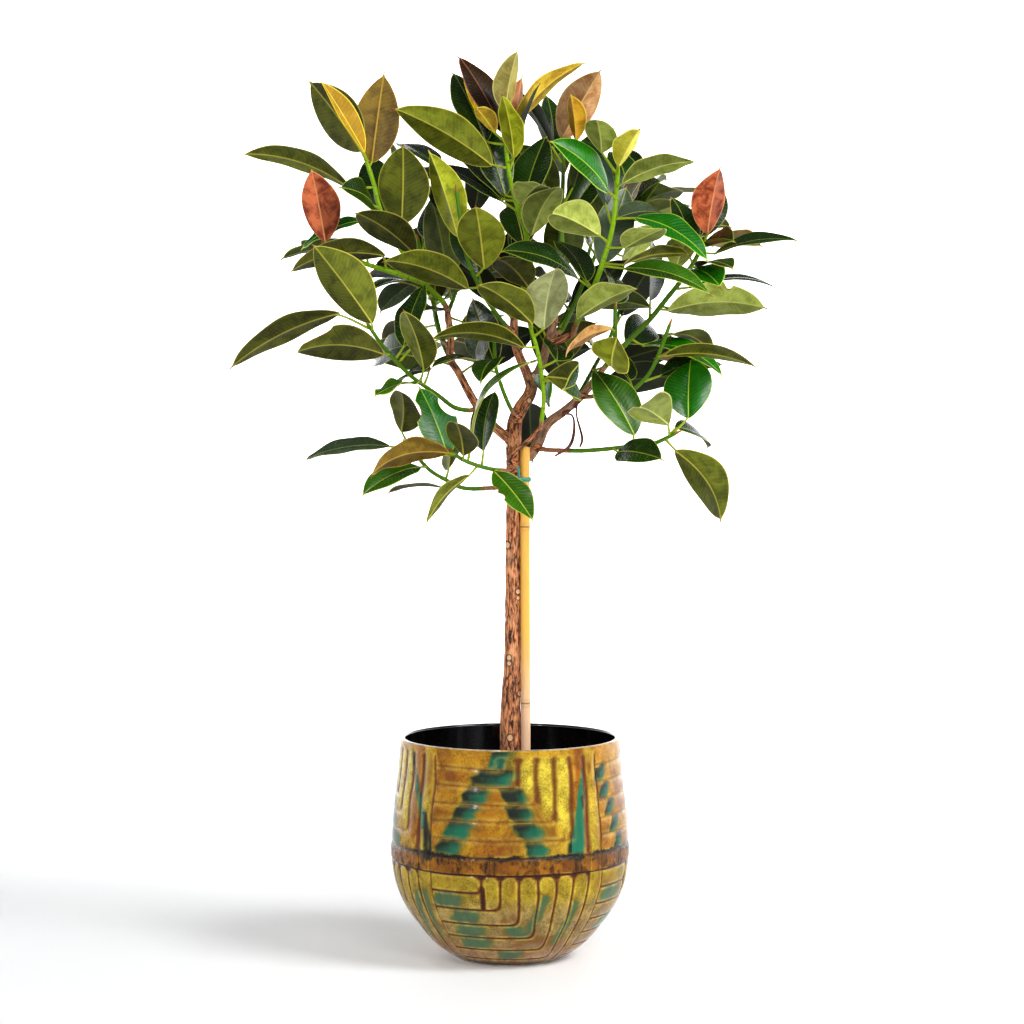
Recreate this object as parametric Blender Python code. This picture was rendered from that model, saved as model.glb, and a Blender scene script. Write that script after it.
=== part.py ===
"""Rubber plant grown as a small standard tree, with its cane and tie, in a glazed pot with relief.

Metres, +Z up. The origin is the middle of the pot's flat foot, on the surface that it stands on.
The plant's front, with the twig that crosses the trunk, faces -Y.
"""
import math
import random

import bmesh
import bpy
from mathutils import Vector
from mathutils.bvhtree import BVHTree

# Places along the plant and the pot are listed in millimetres and scaled by MM.
MM = 0.001
CLEARANCE = 0.0003

# Shoots and leaves are placed as seen from this eye: x and z in the trunk's plane, and a depth behind it.
EYE_DISTANCE = 3600
EYE_HEIGHT = 740

# Pot: the outline of the bars' crests, radius and height from the foot to the rim.
POT_OUTLINE = [
    (67, 0), (78, 7), (98, 22), (117, 45), (132, 67), (142, 89),
    (147.5, 112), (149.2, 140), (146, 190), (140.5, 235), (137, 276),
]
POT_HEIGHT = 276
POT_WALL = 5.5
POT_FLOOR = 9
RIM_ROUND = 1.4
FLOOR_CORNER = 10
INNER_HEIGHTS = (26, 70, 140, POT_HEIGHT - 2)
INNER_SIDES = 28
CUT_PAST = 9
BELT_TOP = 147
BELT_BOTTOM = 126
RELIEF_DEPTH = 1.8
PANELS = 4
BAR_ANGLE = 9
BAR_COLUMNS = 6
UPPER_ROWS = 6
LOWER_ROWS = 7

# Soil and what stands in it.
SOIL_TOP = 214
SOIL_MOUND = 4
SOIL_MOUND_RADIUS = 70
TRUNK_FOOT = 120
CANE_LINE = [(20.3, -8, 60), (18.6, -5, 643)]
CANE_RADIUS = 6
CANE_KNOTS = (320, 541)
KNOT_STEPS = (-6, -1.5, 1.5, 6)
KNOT_SWELL = 0.5
TIE_HEIGHT = 600
TIE_WIDTH = 5
TIE_THICKNESS = 1.3
TIE_SIDES = 16
TIE_END = [(11, -11.8, 600), (11, -12.1, 608), (9.8, -12.6, 617)]
TIE_END_RADIUS = 1.5

# Wood: x, depth, z and radius along each limb.
TRUNK = [
    (0.6, 0, TRUNK_FOOT, 13), (0.6, 0, 290, 13), (3, 0, 372, 10.6), (4, 0, 480, 9.6), (4, 0, 600, 8.8),
    (4.5, 0, 650, 9.4), (6, 3, 672, 9), (14, 8, 690, 8.4), (24, 12, 705, 8), (28, 14, 722, 7.6),
]
LIMBS = [
    [(27, 13, 716, 6.6), (20, 14, 735, 6.2), (12, 16, 752, 5.8), (5, 20, 776, 5.2), (5, 24, 800, 5)],
    [(28, 13, 716, 6.4), (36, 9, 735, 5.8), (42, 8, 752, 5.6), (48, 8, 775, 5.2), (55, 10, 795, 4.8)],
    [(47, 8, 770, 4.4), (60, 6, 773, 4.2), (75, 2, 780, 4)],
    [(4, 2, 646, 6.6), (-18, 0, 664, 6), (-40, -4, 690, 5.6), (-52, -6, 710, 5.2), (-64, -4, 733, 5),
     (-74, 2, 750, 4.8), (-74, 8, 778, 4.6), (-78, 14, 808, 4.4)],
    [(5, 3, 610, 6.6), (16, 11, 623, 6.8), (28, 12, 634, 6.6), (40, 10, 657, 6.2), (50, 8, 672, 6),
     (65, 8, 683, 5.8), (85, 9, 700, 5.4), (105, 12, 722, 5)],
    [(2, -4, 622, 3.4), (0, -12, 626, 3.2), (10, -17, 637, 3), (25, -22, 650, 3), (36, -27, 662, 3.2)],
]
DRY_ROOTS = [
    [(66, 8, 682, 1.8), (78, -2, 679, 1.4), (80, -14, 660, 2), (74, -27, 641, 2.2), (56, -27, 629, 1.2)],
    [(84, 8, 696, 1.6), (83, 3, 680, 1.3), (90, 0, 652, 1.8), (87, -2, 640, 1.4)],
]
TRUNK_SIDES = 8
LIMB_SIDES = 6
DRY_ROOT_SIDES = 4
COLLAR_EXTRA = 0.7

# Leaf form.
RIB_THICKNESS = 1.9
PETIOLE_RADIUS = 1.5
FOLD = {"mature": 9, "cupped": 24, "young": 34, "plain": 9}
STATIONS = {
    "mature": (0.17, 0.42, 0.68, 0.88), "cupped": (0.17, 0.42, 0.68, 0.88),
    "young": (0.25, 0.6, 0.88), "plain": (0.22, 0.55, 0.85),
}
ROOT_BACK = 5
BASE_DEPTH = 9
SHOOT_SIDES = 5
BUD_LENGTH = 12
BUD_RADIUS = 1.6
FLAT_ANGLE = 0.6

# How much further than listed the shoots reach in depth, from where each leaves the wood.
DEPTH_SPREAD = 1.5
# Each shoot: the limb that it goes on from the end of, or the length of its woody collar; the radius at
# its foot and tip; its line and side lines as x, depth, z; its leaves as seen; and how many more stand on
# it by rule, away from the front where it has leaves as seen.
# A leaf: base x, z, tip x, z, depth sense of the tip, blade length, width, roll, arch, form.
# Roll is 90 where the glossy face is turned to the front, -90 where the back of the leaf is.
SHOOTS = {
    "shoot_upper_left": {
        "limb": 3, "radius": (3.8, 2.4),
        "lines": [
            [(-78, 14, 808), (-86, 12, 824), (-110, 2, 848), (-137, -10, 888), (-160, -18, 932),
             (-170, -20, 970), (-180, -22, 1000)],
            [(-105, 3, 844), (-128, -2, 852), (-150, -6, 859), (-190, -12, 872), (-224, -16, 890)],
        ],
        "leaves": [
            (-185, 1008, -252, 1098, 0.4, 116, 60, -62, 5, "mature"),
            (-181, 1006, -235, 1095, -0.6, 104, 34, 50, 2, "young"),
            (-172, 994, -157, 1109, 0.1, 116, 58, -80, 4, "mature"),
            (-198, 961, -337, 1004, -0.3, 144, 50, -28, 15, "mature"),
            (-170, 940, -213, 963, -1, 92, 42, 42, 8, "mature"),
            (-135, 916, -133, 1018, -0.8, 112, 66, -80, 5, "mature"),
            (-145, 930, -150, 1022, 1, 108, 46, -15, 5, "plain"),
            (-118, 880, -194, 932, -1, 112, 54, -46, 8, "mature"),
            (-182, 922, -261, 885, 0.5, 100, 34, 30, 8, "mature"),
            (-229, 895, -245, 985, -0.4, 94, 53, -78, 2, "cupped"),
            (-155, 878, -273, 855, -1, 124, 50, -35, 16, "mature"),
            (-178, 880, -288, 873, 1, 116, 40, -18, 12, "plain"),
            (-200, 884, -262, 890, 1, 92, 40, 12, 10, "plain"),
        ],
        "more": 1,
    },
    "shoot_left": {
        "collar": 9, "radius": (3.1, 2.3),
        "lines": [
            [(-38, -4, 688), (-52, -14, 686), (-70, -22, 690), (-90, -30, 705), (-120, -42, 726),
             (-140, -48, 745), (-160, -54, 768), (-175, -58, 790)],
        ],
        "leaves": [
            (-171, 794, -245, 893, -0.3, 130, 66, -72, 5, "cupped"),
            (-212, 807, -352, 736, -0.2, 156, 50, -35, 12, "mature"),
            (-157, 756, -270, 757, -0.4, 118, 58, -50, 17, "mature"),
            (-107, 737, -133, 812, -1, 106, 52, -45, 5, "mature"),
            (-132, 765, -104, 845, 1, 104, 45, 48, 6, "mature"),
            (-110, 721, -171, 702, -1, 92, 34, 16, 6, "mature"),
            (-100, 735, -140, 715, 1, 90, 40, 10, 8, "plain"),
            (-118, 768, -170, 742, 1, 100, 46, 40, 10, "plain"),
        ],
        "more": 0,
    },
    "shoot_left_back": {
        "collar": 11, "radius": (3.1, 2.4),
        "lines": [[(-74, 5, 762), (-86, 26, 778), (-96, 52, 820), (-106, 70, 858), (-114, 80, 895)]],
        "leaves": [
            (-106, 850, -172, 860, -0.6, 110, 50, 22, 8, "mature"),
            (-100, 830, -178, 832, -1, 112, 46, 5, 15, "mature"),
            (-118, 845, -165, 808, -1, 98, 50, 40, 10, "mature"),
            (-92, 810, -122, 808, -1, 98, 48, 28, 8, "mature"),
        ],
        "more": 6,
    },
    "shoot_centre_left": {
        "collar": 8, "radius": (3, 2.3),
        "lines": [
            [(5, 21, 782), (-10, 8, 797), (-30, -8, 825), (-42, -18, 848), (-53, -24, 875),
             (-60, -24, 910), (-66, -20, 955)],
        ],
        "leaves": [
            (-52, 837, -160, 872, -0.8, 124, 56, -44, 12, "mature"),
            (-32, 862, -43, 941, -1, 112, 60, -80, 6, "mature"),
            (-65, 902, -102, 1011, 0.2, 118, 50, -60, 4, "cupped"),
            (-92, 988, -142, 1021, 1, 104, 46, 30, 6, "plain"),
            (-70, 955, -140, 990, 0.9, 112, 50, 20, 10, "plain"),
        ],
        "more": 2,
    },
    "shoot_centre_top": {
        "limb": 0, "radius": (4, 2.5),
        "lines": [
            [(5, 24, 800), (9, 24, 815), (22, 21, 860), (20, 15, 905), (12, 10, 930), (4, 6, 957),
             (-2, 3, 985), (-6, 0, 1025)],
        ],
        "leaves": [
            (-22, 990, -148, 1062, -0.4, 146, 60, -56, 12, "mature"),
            (-9, 1031, -66, 1129, 0.4, 118, 50, 48, 5, "mature"),
            (-30, 1040, -57, 1095, 0.5, 64, 22, 12, 2, "young"),
            (-18, 1030, -43, 1062, -1, 60, 28, -60, 2, "young"),
            (-6, 1056, 10, 1134, -0.7, 88, 42, -48, 3, "cupped"),
            (5, 1000, -10, 1079, -1, 95, 38, -50, 4, "mature"),
            (4, 1035, 97, 1119, 0.3, 130, 44, -26, 13, "mature"),
            (8, 1048, 15, 1102, 0.8, 62, 28, -60, 2, "young"),
            (-12, 915, -107, 987, -1, 140, 62, -46, 9, "mature"),
            (-8, 947, -85, 1020, 0.7, 118, 50, 30, 8, "mature"),
            (14, 941, 39, 967, -1, 84, 46, -50, 6, "mature"),
            (27, 906, 62, 972, -1, 100, 50, -55, 10, "mature"),
            (24, 838, -17, 875, -1, 98, 50, -50, 8, "mature"),
            (-30, 1018, -72, 1107, 0.9, 112, 50, 62, 5, "plain"),
            (-6, 952, -38, 1042, 0.9, 104, 46, 70, 6, "plain"),
            (16, 940, 46, 1028, 1, 106, 50, 62, 6, "plain"),
        ],
        "more": 3,
    },
    "shoot_top_right": {
        "limb": 1, "radius": (3.8, 2.4),
        "lines": [
            [(55, 10, 795), (57, 17, 808), (61, 38, 855), (64, 58, 920), (66, 70, 980), (65, 74, 1012)],
        ],
        "leaves": [
            (64, 1022, 113, 1108, -0.3, 108, 55, -74, 4, "cupped"),
            (82, 1020, 75, 1078, -1, 72, 32, -60, 2, "young"),
            (54, 1000, 44, 1080, 0.9, 98, 46, 40, 5, "plain"),
            (70, 985, 30, 1050, 0.5, 104, 48, -50, 6, "mature"),
            (72, 950, 128, 1030, 0.9, 112, 50, -35, 8, "plain"),
            (56, 946, 0, 1018, 0.5, 104, 58, -62, 8, "plain"),
            (74, 925, 120, 988, 0.6, 96, 48, 52, 6, "plain"),
            (68, 866, 62, 950, 1, 96, 54, -80, 6, "plain"),
        ],
        "more": 4,
    },
    "shoot_right_front": {
        "limb": 2, "radius": (3.8, 2.7),
        "lines": [
            [(75, 2, 780), (82, -6, 792), (95, -26, 820), (108, -42, 848), (117, -52, 875),
             (125, -58, 902), (130, -62, 932), (134, -66, 985)],
        ],
        "leaves": [
            (122, 957, 47, 1022, -1, 115, 52, 42, 10, "mature"),
            (114, 1006, 107, 1048, -1, 86, 41, -60, 4, "mature"),
            (135, 988, 161, 1036, -1, 74, 38, -54, 2, "young"),
            (140, 968, 233, 995, -0.8, 110, 46, -32, 8, "mature"),
            (155, 925, 249, 869, -0.7, 118, 50, 38, 14, "mature"),
            (135, 925, 196, 926, 1, 104, 46, 30, 8, "plain"),
            (142, 888, 192, 912, -1, 98, 46, -32, 8, "mature"),
            (112, 903, 50, 931, -1, 96, 54, -60, 8, "cupped"),
            (142, 862, 253, 828, -0.6, 120, 50, 30, 12, "mature"),
            (85, 849, -15, 884, -0.9, 120, 52, 32, 13, "mature"),
            (95, 846, 55, 898, 1, 108, 50, 35, 8, "plain"),
            (140, 866, 226, 879, 1, 104, 40, -20, 8, "plain"),
            (84, 800, 158, 838, -1, 108, 50, -42, 6, "cupped"),
        ],
        "more": 2,
    },
    "shoot_right_back": {
        "collar": 12, "radius": (3, 2.3),
        "lines": [
            [(48, 8, 776), (66, 22, 788), (86, 40, 832), (112, 62, 890), (138, 80, 928), (152, 88, 955)],
        ],
        "leaves": [
            (153, 940, 149, 1012, 1, 104, 46, 75, 6, "plain"),
            (157, 948, 196, 973, 1, 100, 42, 10, 8, "plain"),
            (147, 942, 168, 978, -1, 78, 38, 40, 2, "cupped"),
            (152, 933, 190, 973, -1, 104, 46, 42, 8, "mature"),
            (158, 938, 216, 959, -1, 104, 46, -36, 8, "mature"),
            (160, 920, 228, 940, -1, 104, 46, -30, 8, "mature"),
            (140, 876, 190, 908, 1, 92, 46, -42, 6, "plain"),
            (146, 938, 123, 1008, 1, 92, 44, 62, 6, "plain"),
        ],
        "more": 3,
    },
    "shoot_right": {
        "limb": 4, "radius": (4, 2.6),
        "lines": [
            [(105, 12, 722), (112, 13, 732), (125, 14, 748), (150, 16, 775), (175, 16, 800),
             (195, 14, 825), (215, 12, 850), (232, 10, 876), (243, 8, 900)],
            [(124, 14, 747), (130, 6, 758), (131, -4, 780), (131, -8, 812)],
        ],
        "leaves": [
            (245, 905, 260, 988, -0.5, 92, 52, -62, 3, "cupped"),
            (224, 902, 276, 914, 1, 98, 38, -20, 8, "plain"),
            (254, 880, 362, 896, -0.2, 118, 44, 20, 10, "mature"),
            (252, 892, 315, 890, 1, 94, 42, -32, 8, "plain"),
            (240, 892, 280, 896, -1, 84, 44, 35, 6, "mature"),
            (234, 864, 279, 861, -1, 94, 42, 15, 8, "mature"),
            (226, 860, 262, 838, -1, 84, 50, 50, 8, "mature"),
            (206, 860, 238, 898, -1, 88, 46, -50, 6, "mature"),
            (196, 810, 323, 812, -0.4, 130, 60, -44, 15, "mature"),
            (200, 812, 300, 812, 1, 116, 44, 10, 8, "plain"),
            (165, 766, 268, 725, -0.5, 124, 50, 24, 17, "mature"),
            (127, 788, 68, 752, -1, 88, 26, -34, 10, "mature"),
            (133, 776, 128, 738, -1, 88, 56, -68, 6, "mature"),
            (132, 820, 118, 862, 1, 92, 46, 30, 6, "plain"),
            (222, 878, 197, 950, 1, 92, 42, 60, 6, "plain"),
        ],
        "more": 4,
    },
    "shoot_right_low": {
        "collar": 9, "radius": (3, 2.3),
        "lines": [
            [(88, 9, 703), (100, 2, 703), (120, -6, 706), (150, -12, 711), (163, -14, 720), (176, -16, 736),
             (187, -20, 760), (198, -24, 790)],
        ],
        "leaves": [
            (192, 754, 306, 737, 0.4, 122, 50, -22, 11, "mature"),
            (184, 752, 226, 744, 1, 80, 38, -30, 6, "plain"),
            (192, 776, 256, 752, 1, 104, 42, -24, 10, "mature"),
            (150, 724, 120, 768, 0.8, 96, 44, 35, 8, "plain"),
        ],
        "more": 1,
    },
    "shoot_front": {
        "limb": 5, "radius": (3, 2.3),
        "lines": [
            [(36, -27, 662), (39, -29, 671), (42, -34, 700), (38, -42, 740), (33, -48, 765), (25, -54, 790)],
        ],
        "leaves": [
            (42, 787, 58, 865, -0.9, 106, 58, -64, 8, "mature"),
            (28, 794, -42, 843, -1, 110, 52, -46, 8, "mature"),
            (18, 764, -102, 773, -0.5, 128, 50, -26, 15, "mature"),
            (58, 748, 53, 769, 1, 74, 44, 50, 5, "mature"),
            (46, 728, 63, 711, -1, 84, 50, -40, 26, "mature"),
            (52, 726, 50, 703, 1, 80, 44, 30, 10, "plain"),
        ],
        "more": 0,
    },
    "shoot_front_left": {
        "collar": 11, "radius": (2.8, 2.2),
        "lines": [
            [(8, 3, 676), (2, -8, 686), (-5, -16, 701), (-12, -22, 720), (-18, -28, 742), (-20, -34, 778)],
        ],
        "leaves": [
            (-14, 748, -37, 718, -1, 84, 40, 40, 10, "mature"),
            (-25, 790, -42, 746, -0.4, 92, 56, 56, 8, "mature"),
            (-26, 735, -102, 737, -0.8, 100, 42, 6, 14, "mature"),
        ],
        "more": 1,
    },
    "shoot_low_right": {
        "collar": 11, "radius": (3.2, 2.4),
        "lines": [
            [(31, 12, 640), (44, 6, 637), (60, -2, 636), (100, -18, 636), (150, -34, 641), (180, -42, 645),
             (204, -48, 656)],
        ],
        "leaves": [
            (155, 655, 101, 739, 0.9, 116, 62, 56, 6, "mature"),
            (134, 634, 192, 624, -1, 98, 46, 48, 6, "mature"),
            (206, 636, 264, 545, -0.5, 120, 58, -50, 21, "mature"),
            (198, 668, 160, 690, -1, 92, 60, -58, 6, "cupped"),
            (223, 676, 226, 751, 1, 96, 64, 68, 5, "mature"),
            (206, 664, 248, 638, 1, 90, 38, 12, 8, "plain"),
        ],
        "more": 0,
    },
    "shoot_low_front": {
        "collar": 13, "radius": (3.1, 2.3),
        "lines": [
            [(4, 0, 608), (-7, -12, 611), (-20, -24, 612), (-40, -38, 617), (-60, -50, 625), (-72, -58, 634)],
        ],
        "leaves": [
            (-78, 631, -114, 724, 0.6, 114, 53, 62, 6, "mature"),
            (-47, 645, 32, 748, -0.6, 134, 40, 8, 24, "mature"),
            (-33, 636, -18, 712, 0.6, 98, 48, 42, 6, "mature"),
            (-20, 610, 30, 547, -0.6, 98, 42, 56, 5, "mature"),
            (-50, 605, -106, 540, -0.6, 98, 38, -22, 8, "mature"),
            (-76, 633, -174, 604, -0.4, 116, 50, -38, 17, "mature"),
            (-58, 630, -68, 672, -1, 84, 44, -58, 4, "mature"),
        ],
        "more": 0,
    },
    "shoot_low_left": {
        "collar": 13, "radius": (3.1, 2.3),
        "lines": [
            [(4, 0, 592), (-9, 7, 590), (-25, 9, 589), (-45, 7, 588), (-62, 3, 590), (-78, -4, 598),
             (-102, -14, 613), (-127, -24, 642)],
        ],
        "leaves": [
            (-112, 615, -187, 577, -0.8, 104, 44, 38, 9, "mature"),
            (-150, 641, -261, 622, 0.2, 120, 40, 26, 9, "mature"),
            (-136, 659, -138, 711, -1, 92, 52, -52, 5, "mature"),
            (-80, 589, -155, 582, 1, 98, 32, -12, 6, "plain"),
            (-76, 614, -84, 668, 1, 90, 44, -42, 5, "plain"),
        ],
        "more": 0,
    },
    "shoot_back_low_left": {
        "collar": 8, "radius": (3, 2.3),
        "lines": [[(-58, -5, 722), (-64, 16, 732), (-80, 62, 760), (-92, 110, 795), (-98, 145, 835)]],
        "leaves": [], "more": 6,
    },
    "shoot_back_low": {
        "collar": 11, "radius": (3.1, 2.3),
        "lines": [[(24, 12, 706), (23, 30, 714), (14, 78, 745), (4, 125, 785), (0, 160, 835)]],
        "leaves": [], "more": 6,
    },
    "shoot_back_low_right": {
        "collar": 9, "radius": (3, 2.3),
        "lines": [[(78, 9, 694), (84, 24, 702), (104, 66, 738), (126, 108, 780), (142, 138, 828)]],
        "leaves": [], "more": 6,
    },
    "shoot_back_left": {
        "collar": 8, "radius": (2.9, 2.3),
        "lines": [[(-76, 11, 792), (-78, 28, 804), (-62, 66, 850), (-50, 100, 905), (-44, 118, 950)]],
        "leaves": [], "more": 6,
    },
    "shoot_back_centre": {
        "collar": 9, "radius": (2.9, 2.2),
        "lines": [[(8, 18, 765), (8, 34, 778), (6, 70, 830), (0, 104, 895), (-4, 122, 960)]],
        "leaves": [], "more": 6,
    },
    "shoot_back_right": {
        "collar": 8, "radius": (3, 2.3),
        "lines": [[(44, 8, 760), (50, 22, 768), (70, 62, 806), (92, 106, 860), (106, 134, 915)]],
        "leaves": [], "more": 5,
    },
}
# Leaves by rule: their lean from the shoot and their length, at its foot and its tip, and where they stand.
GOLDEN_TURN = 137.5
SEED = 1
SPREAD = (78, 28)
RULE_LENGTH = (116, 92)
RULE_PETIOLE = 28
RULE_DROOP = 0.12
# A leaf by rule takes a turn that keeps its tip above this where it can, so that the trunk's fork is open.
RULE_LOWEST = 742
RULE_FIRST = 0.3
RULE_LAST = 0.97
AWAY_RANGE = 80
OTHER_TURNS = (0, 24, -24, 48, -48, 75, -75, 105, -105)
# A leaf that would cross another is bent: how far its tip may go in depth, its arch and its tip's rise.
LEAF_ROOM = 0.8
DEPTH_NUDGES = (0, 9, -9, 18, -18, 28, -28, 40, -40, 54, -54, 70, -70)
ARCH_NUDGES = (0, 6, -6, 12)
RISE_NUDGES = (0, 7, -7)
ARCH_COST = 2.2
RISE_COST = 2.6
FEW_NUDGES = 30
BASE_SHARE = 0.25


def seen_at(x, depth, z):
    """Place, in metres, of a point seen at x, z in the trunk's plane and standing depth behind it."""
    scale = (EYE_DISTANCE + depth) / EYE_DISTANCE
    return Vector((x * scale, depth, EYE_HEIGHT + (z - EYE_HEIGHT) * scale)) * MM


def smooth_line(points, steps):
    """Catmull-Rom line through the points, with a number of steps between each two."""
    padded = [points[0] * 2 - points[1], *points, points[-1] * 2 - points[-2]]
    line = []
    for a, b, c, d in zip(padded, padded[1:], padded[2:], padded[3:]):
        for step in range(steps):
            t = step / steps
            line.append(
                ((b * 2) + (c - a) * t + (a * 2 - b * 5 + c * 4 - d) * t * t
                 + (b * 3 - a - c * 3 + d) * t ** 3) / 2
            )
    line.append(points[-1].copy())
    return line


def make_material(name, colour, roughness, metallic=0.0):
    material = bpy.data.materials.new(name)
    material.use_nodes = True
    shader = material.node_tree.nodes["Principled BSDF"]
    shader.inputs["Base Color"].default_value = (*colour, 1)
    shader.inputs["Roughness"].default_value = roughness
    shader.inputs["Metallic"].default_value = metallic
    return material


def skin(bm, rings):
    """Cover rings of equal size with triangles, close the first, and close the last or draw it to a point."""
    loops = [[bm.verts.new(point) for point in ring] for ring in rings]
    sides = len(loops[0])
    for near, far in zip(loops, loops[1:]):
        for i in range(sides):
            j = (i + 1) % sides
            if len(far) == 1:
                bm.faces.new((near[i], near[j], far[0]))
            elif i % 2 == 0:
                bm.faces.new((near[i], near[j], far[j]))
                bm.faces.new((near[i], far[j], far[i]))
            else:
                bm.faces.new((near[i], near[j], far[i]))
                bm.faces.new((near[j], far[j], far[i]))
    bm.faces.new(list(reversed(loops[0])))
    if len(loops[-1]) > 1:
        bm.faces.new(loops[-1])
    return bm


def solid(name, rings, material=None):
    """A closed object skinned over rings."""
    bm = skin(bmesh.new(), rings)
    bmesh.ops.recalc_face_normals(bm, faces=bm.faces)
    return add_object(name, bm, material)


def add_object(name, bm, material=None):
    mesh = bpy.data.meshes.new(name)
    bm.to_mesh(mesh)
    bm.free()
    mesh.shade_smooth()
    mesh.set_sharp_from_angle(angle=math.radians(35))
    obj = bpy.data.objects.new(name, mesh)
    bpy.context.scene.collection.objects.link(obj)
    if material:
        mesh.materials.append(material)
    return obj


def tube_rings(line, radii, sides):
    """Rings along a line of points, with frames carried along it."""
    rings = []
    side = None
    for i, point in enumerate(line):
        ahead = (line[min(i + 1, len(line) - 1)] - line[max(i - 1, 0)]).normalized()
        reference = side if side else ahead.orthogonal()
        side = (reference - ahead * reference.dot(ahead)).normalized()
        up = ahead.cross(side)
        turns = [math.tau * k / sides for k in range(sides)]
        rings.append([point + (side * math.cos(a) + up * math.sin(a)) * radii[i] for a in turns])
    return rings


def is_closed(mesh):
    bm = bmesh.new()
    bm.from_mesh(mesh)
    closed = all(edge.is_manifold for edge in bm.edges)
    bm.free()
    return closed


def drop_flat_edges(mesh):
    """Take out the edges and points that a union leaves on flat stretches."""
    bm = bmesh.new()
    bm.from_mesh(mesh)
    bmesh.ops.dissolve_limit(bm, angle_limit=math.radians(FLAT_ANGLE), verts=bm.verts, edges=bm.edges)
    bmesh.ops.triangulate(bm, faces=bm.faces)
    bm.to_mesh(mesh)
    bm.free()


def fuse(base, pieces):
    """Join the pieces to the base with one Boolean union on their collection."""
    collection = bpy.data.collections.new(base.name + "_pieces")
    bpy.context.scene.collection.children.link(collection)
    for piece in pieces:
        bpy.context.scene.collection.objects.unlink(piece)
        collection.objects.link(piece)
    union = base.modifiers.new("Join", "BOOLEAN")
    union.operation = "UNION"
    union.operand_type = "COLLECTION"
    union.collection = collection
    for solver in ("EXACT", "MANIFOLD"):
        union.solver = solver
        evaluated = base.evaluated_get(bpy.context.evaluated_depsgraph_get())
        joined = bpy.data.meshes.new_from_object(evaluated)
        if is_closed(joined):
            break
    base.modifiers.clear()
    base.data = joined
    drop_flat_edges(joined)
    for piece in pieces:
        bpy.data.objects.remove(piece)
    bpy.data.collections.remove(collection)


def cut(base, cutter):
    """Cut a shape out of the base, with a guide that stays out of the model."""
    cutter.hide_render = True
    cutter.display_type = "WIRE"
    difference = base.modifiers.new("Hole", "BOOLEAN")
    difference.operation = "DIFFERENCE"
    difference.object = cutter


# Pot
def pot_outline():
    """The outline as points in metres with their distance along it from the foot."""
    points = smooth_line([Vector(pair) * MM for pair in POT_OUTLINE], 8)
    distance = 0
    outline = [(0, points[0])]
    for a, b in zip(points, points[1:]):
        distance += (b - a).length
        outline.append((distance, b))
    return outline


def outline_at(outline, distance):
    for (s0, a), (s1, b) in zip(outline, outline[1:]):
        if distance <= s1:
            return a.lerp(b, (distance - s0) / (s1 - s0))
    return outline[-1][1]


def distance_at_height(outline, height):
    for (s0, a), (s1, b) in zip(outline, outline[1:]):
        if height <= b.y:
            return s0 + (s1 - s0) * (height - a.y) / (b.y - a.y)
    return outline[-1][0]


def pot_columns():
    """Angles of the pot's columns, each with its place in bars from the panel's right edge."""
    bars = [-0.5] + [0.5 * k for k in range(2 * BAR_COLUMNS + 1)]
    bars += [BAR_COLUMNS + 1.5, BAR_COLUMNS + 3]
    columns = []
    for panel in range(PANELS):
        for bar in bars:
            angle = panel * 360 / PANELS + 45 - BAR_ANGLE * (bar + 0.5)
            columns.append((math.radians(angle), bar))
    return sorted(columns)


def pot_levels(outline):
    """Distances along the outline, each with its half of the pot and its place in bars from the bottom."""
    belt_bottom = distance_at_height(outline, BELT_BOTTOM * MM)
    belt_top = distance_at_height(outline, BELT_TOP * MM)
    rim = outline[-1][0]
    levels = [(belt_bottom * k / (2 * LOWER_ROWS), "lower", k / 2) for k in range(2 * LOWER_ROWS + 1)]
    levels += [
        (belt_top + (rim - belt_top) * k / (2 * UPPER_ROWS), "upper", k / 2)
        for k in range(2 * UPPER_ROWS + 1)
    ]
    return levels


def bar_crest(bar, half, row):
    """1 on a raised bar or on the belt, 0 in a groove: nested right angles with their corner low right."""
    if bar < 0 or (half == "upper" and row == 0) or (half == "lower" and row == LOWER_ROWS):
        return 1
    return 1 if min(bar, row) % 1 == 0.5 else 0


def round_ring(radius, height, sides):
    turns = [math.tau * k / sides for k in range(sides)]
    return [Vector((radius * math.cos(a), radius * math.sin(a), height)) for a in turns]


def build_pot():
    outline = pot_outline()
    columns = pot_columns()
    rings = []
    for distance, half, row in pot_levels(outline):
        point = outline_at(outline, distance)
        ring = []
        for angle, bar in columns:
            flush = distance == 0 or distance == outline[-1][0]
            crest = 1 if flush else bar_crest(bar, half, row)
            radius = point.x - RELIEF_DEPTH * MM * (1 - crest)
            ring.append(Vector((radius * math.sin(angle), -radius * math.cos(angle), point.y)))
        rings.append(ring)
    lip = outline[-1][1].x - RIM_ROUND * MM
    lip_top = (POT_HEIGHT + RIM_ROUND) * MM
    rings.append([Vector((lip * math.sin(angle), -lip * math.cos(angle), lip_top)) for angle, _ in columns])
    pot = solid("pot", rings, make_material("pot_glaze", (0.42, 0.24, 0.04), 0.18))
    hollow = [round_ring(radius, height, INNER_SIDES) for radius, height in inner_wall(outline)]
    cut(pot, solid("pot_hollow", hollow))
    return pot


def inner_wall(outline):
    """Radius and height up the pot's inside, from its floor to past its rim."""
    floor_radius = outline_at(outline, distance_at_height(outline, POT_FLOOR * MM)).x
    wall = [(floor_radius - FLOOR_CORNER * MM, POT_FLOOR * MM)]
    for height in INNER_HEIGHTS:
        radius = outline_at(outline, distance_at_height(outline, height * MM)).x
        wall.append((radius - POT_WALL * MM, height * MM))
    wall.append((wall[-1][0], (POT_HEIGHT + CUT_PAST) * MM))
    return wall


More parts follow.
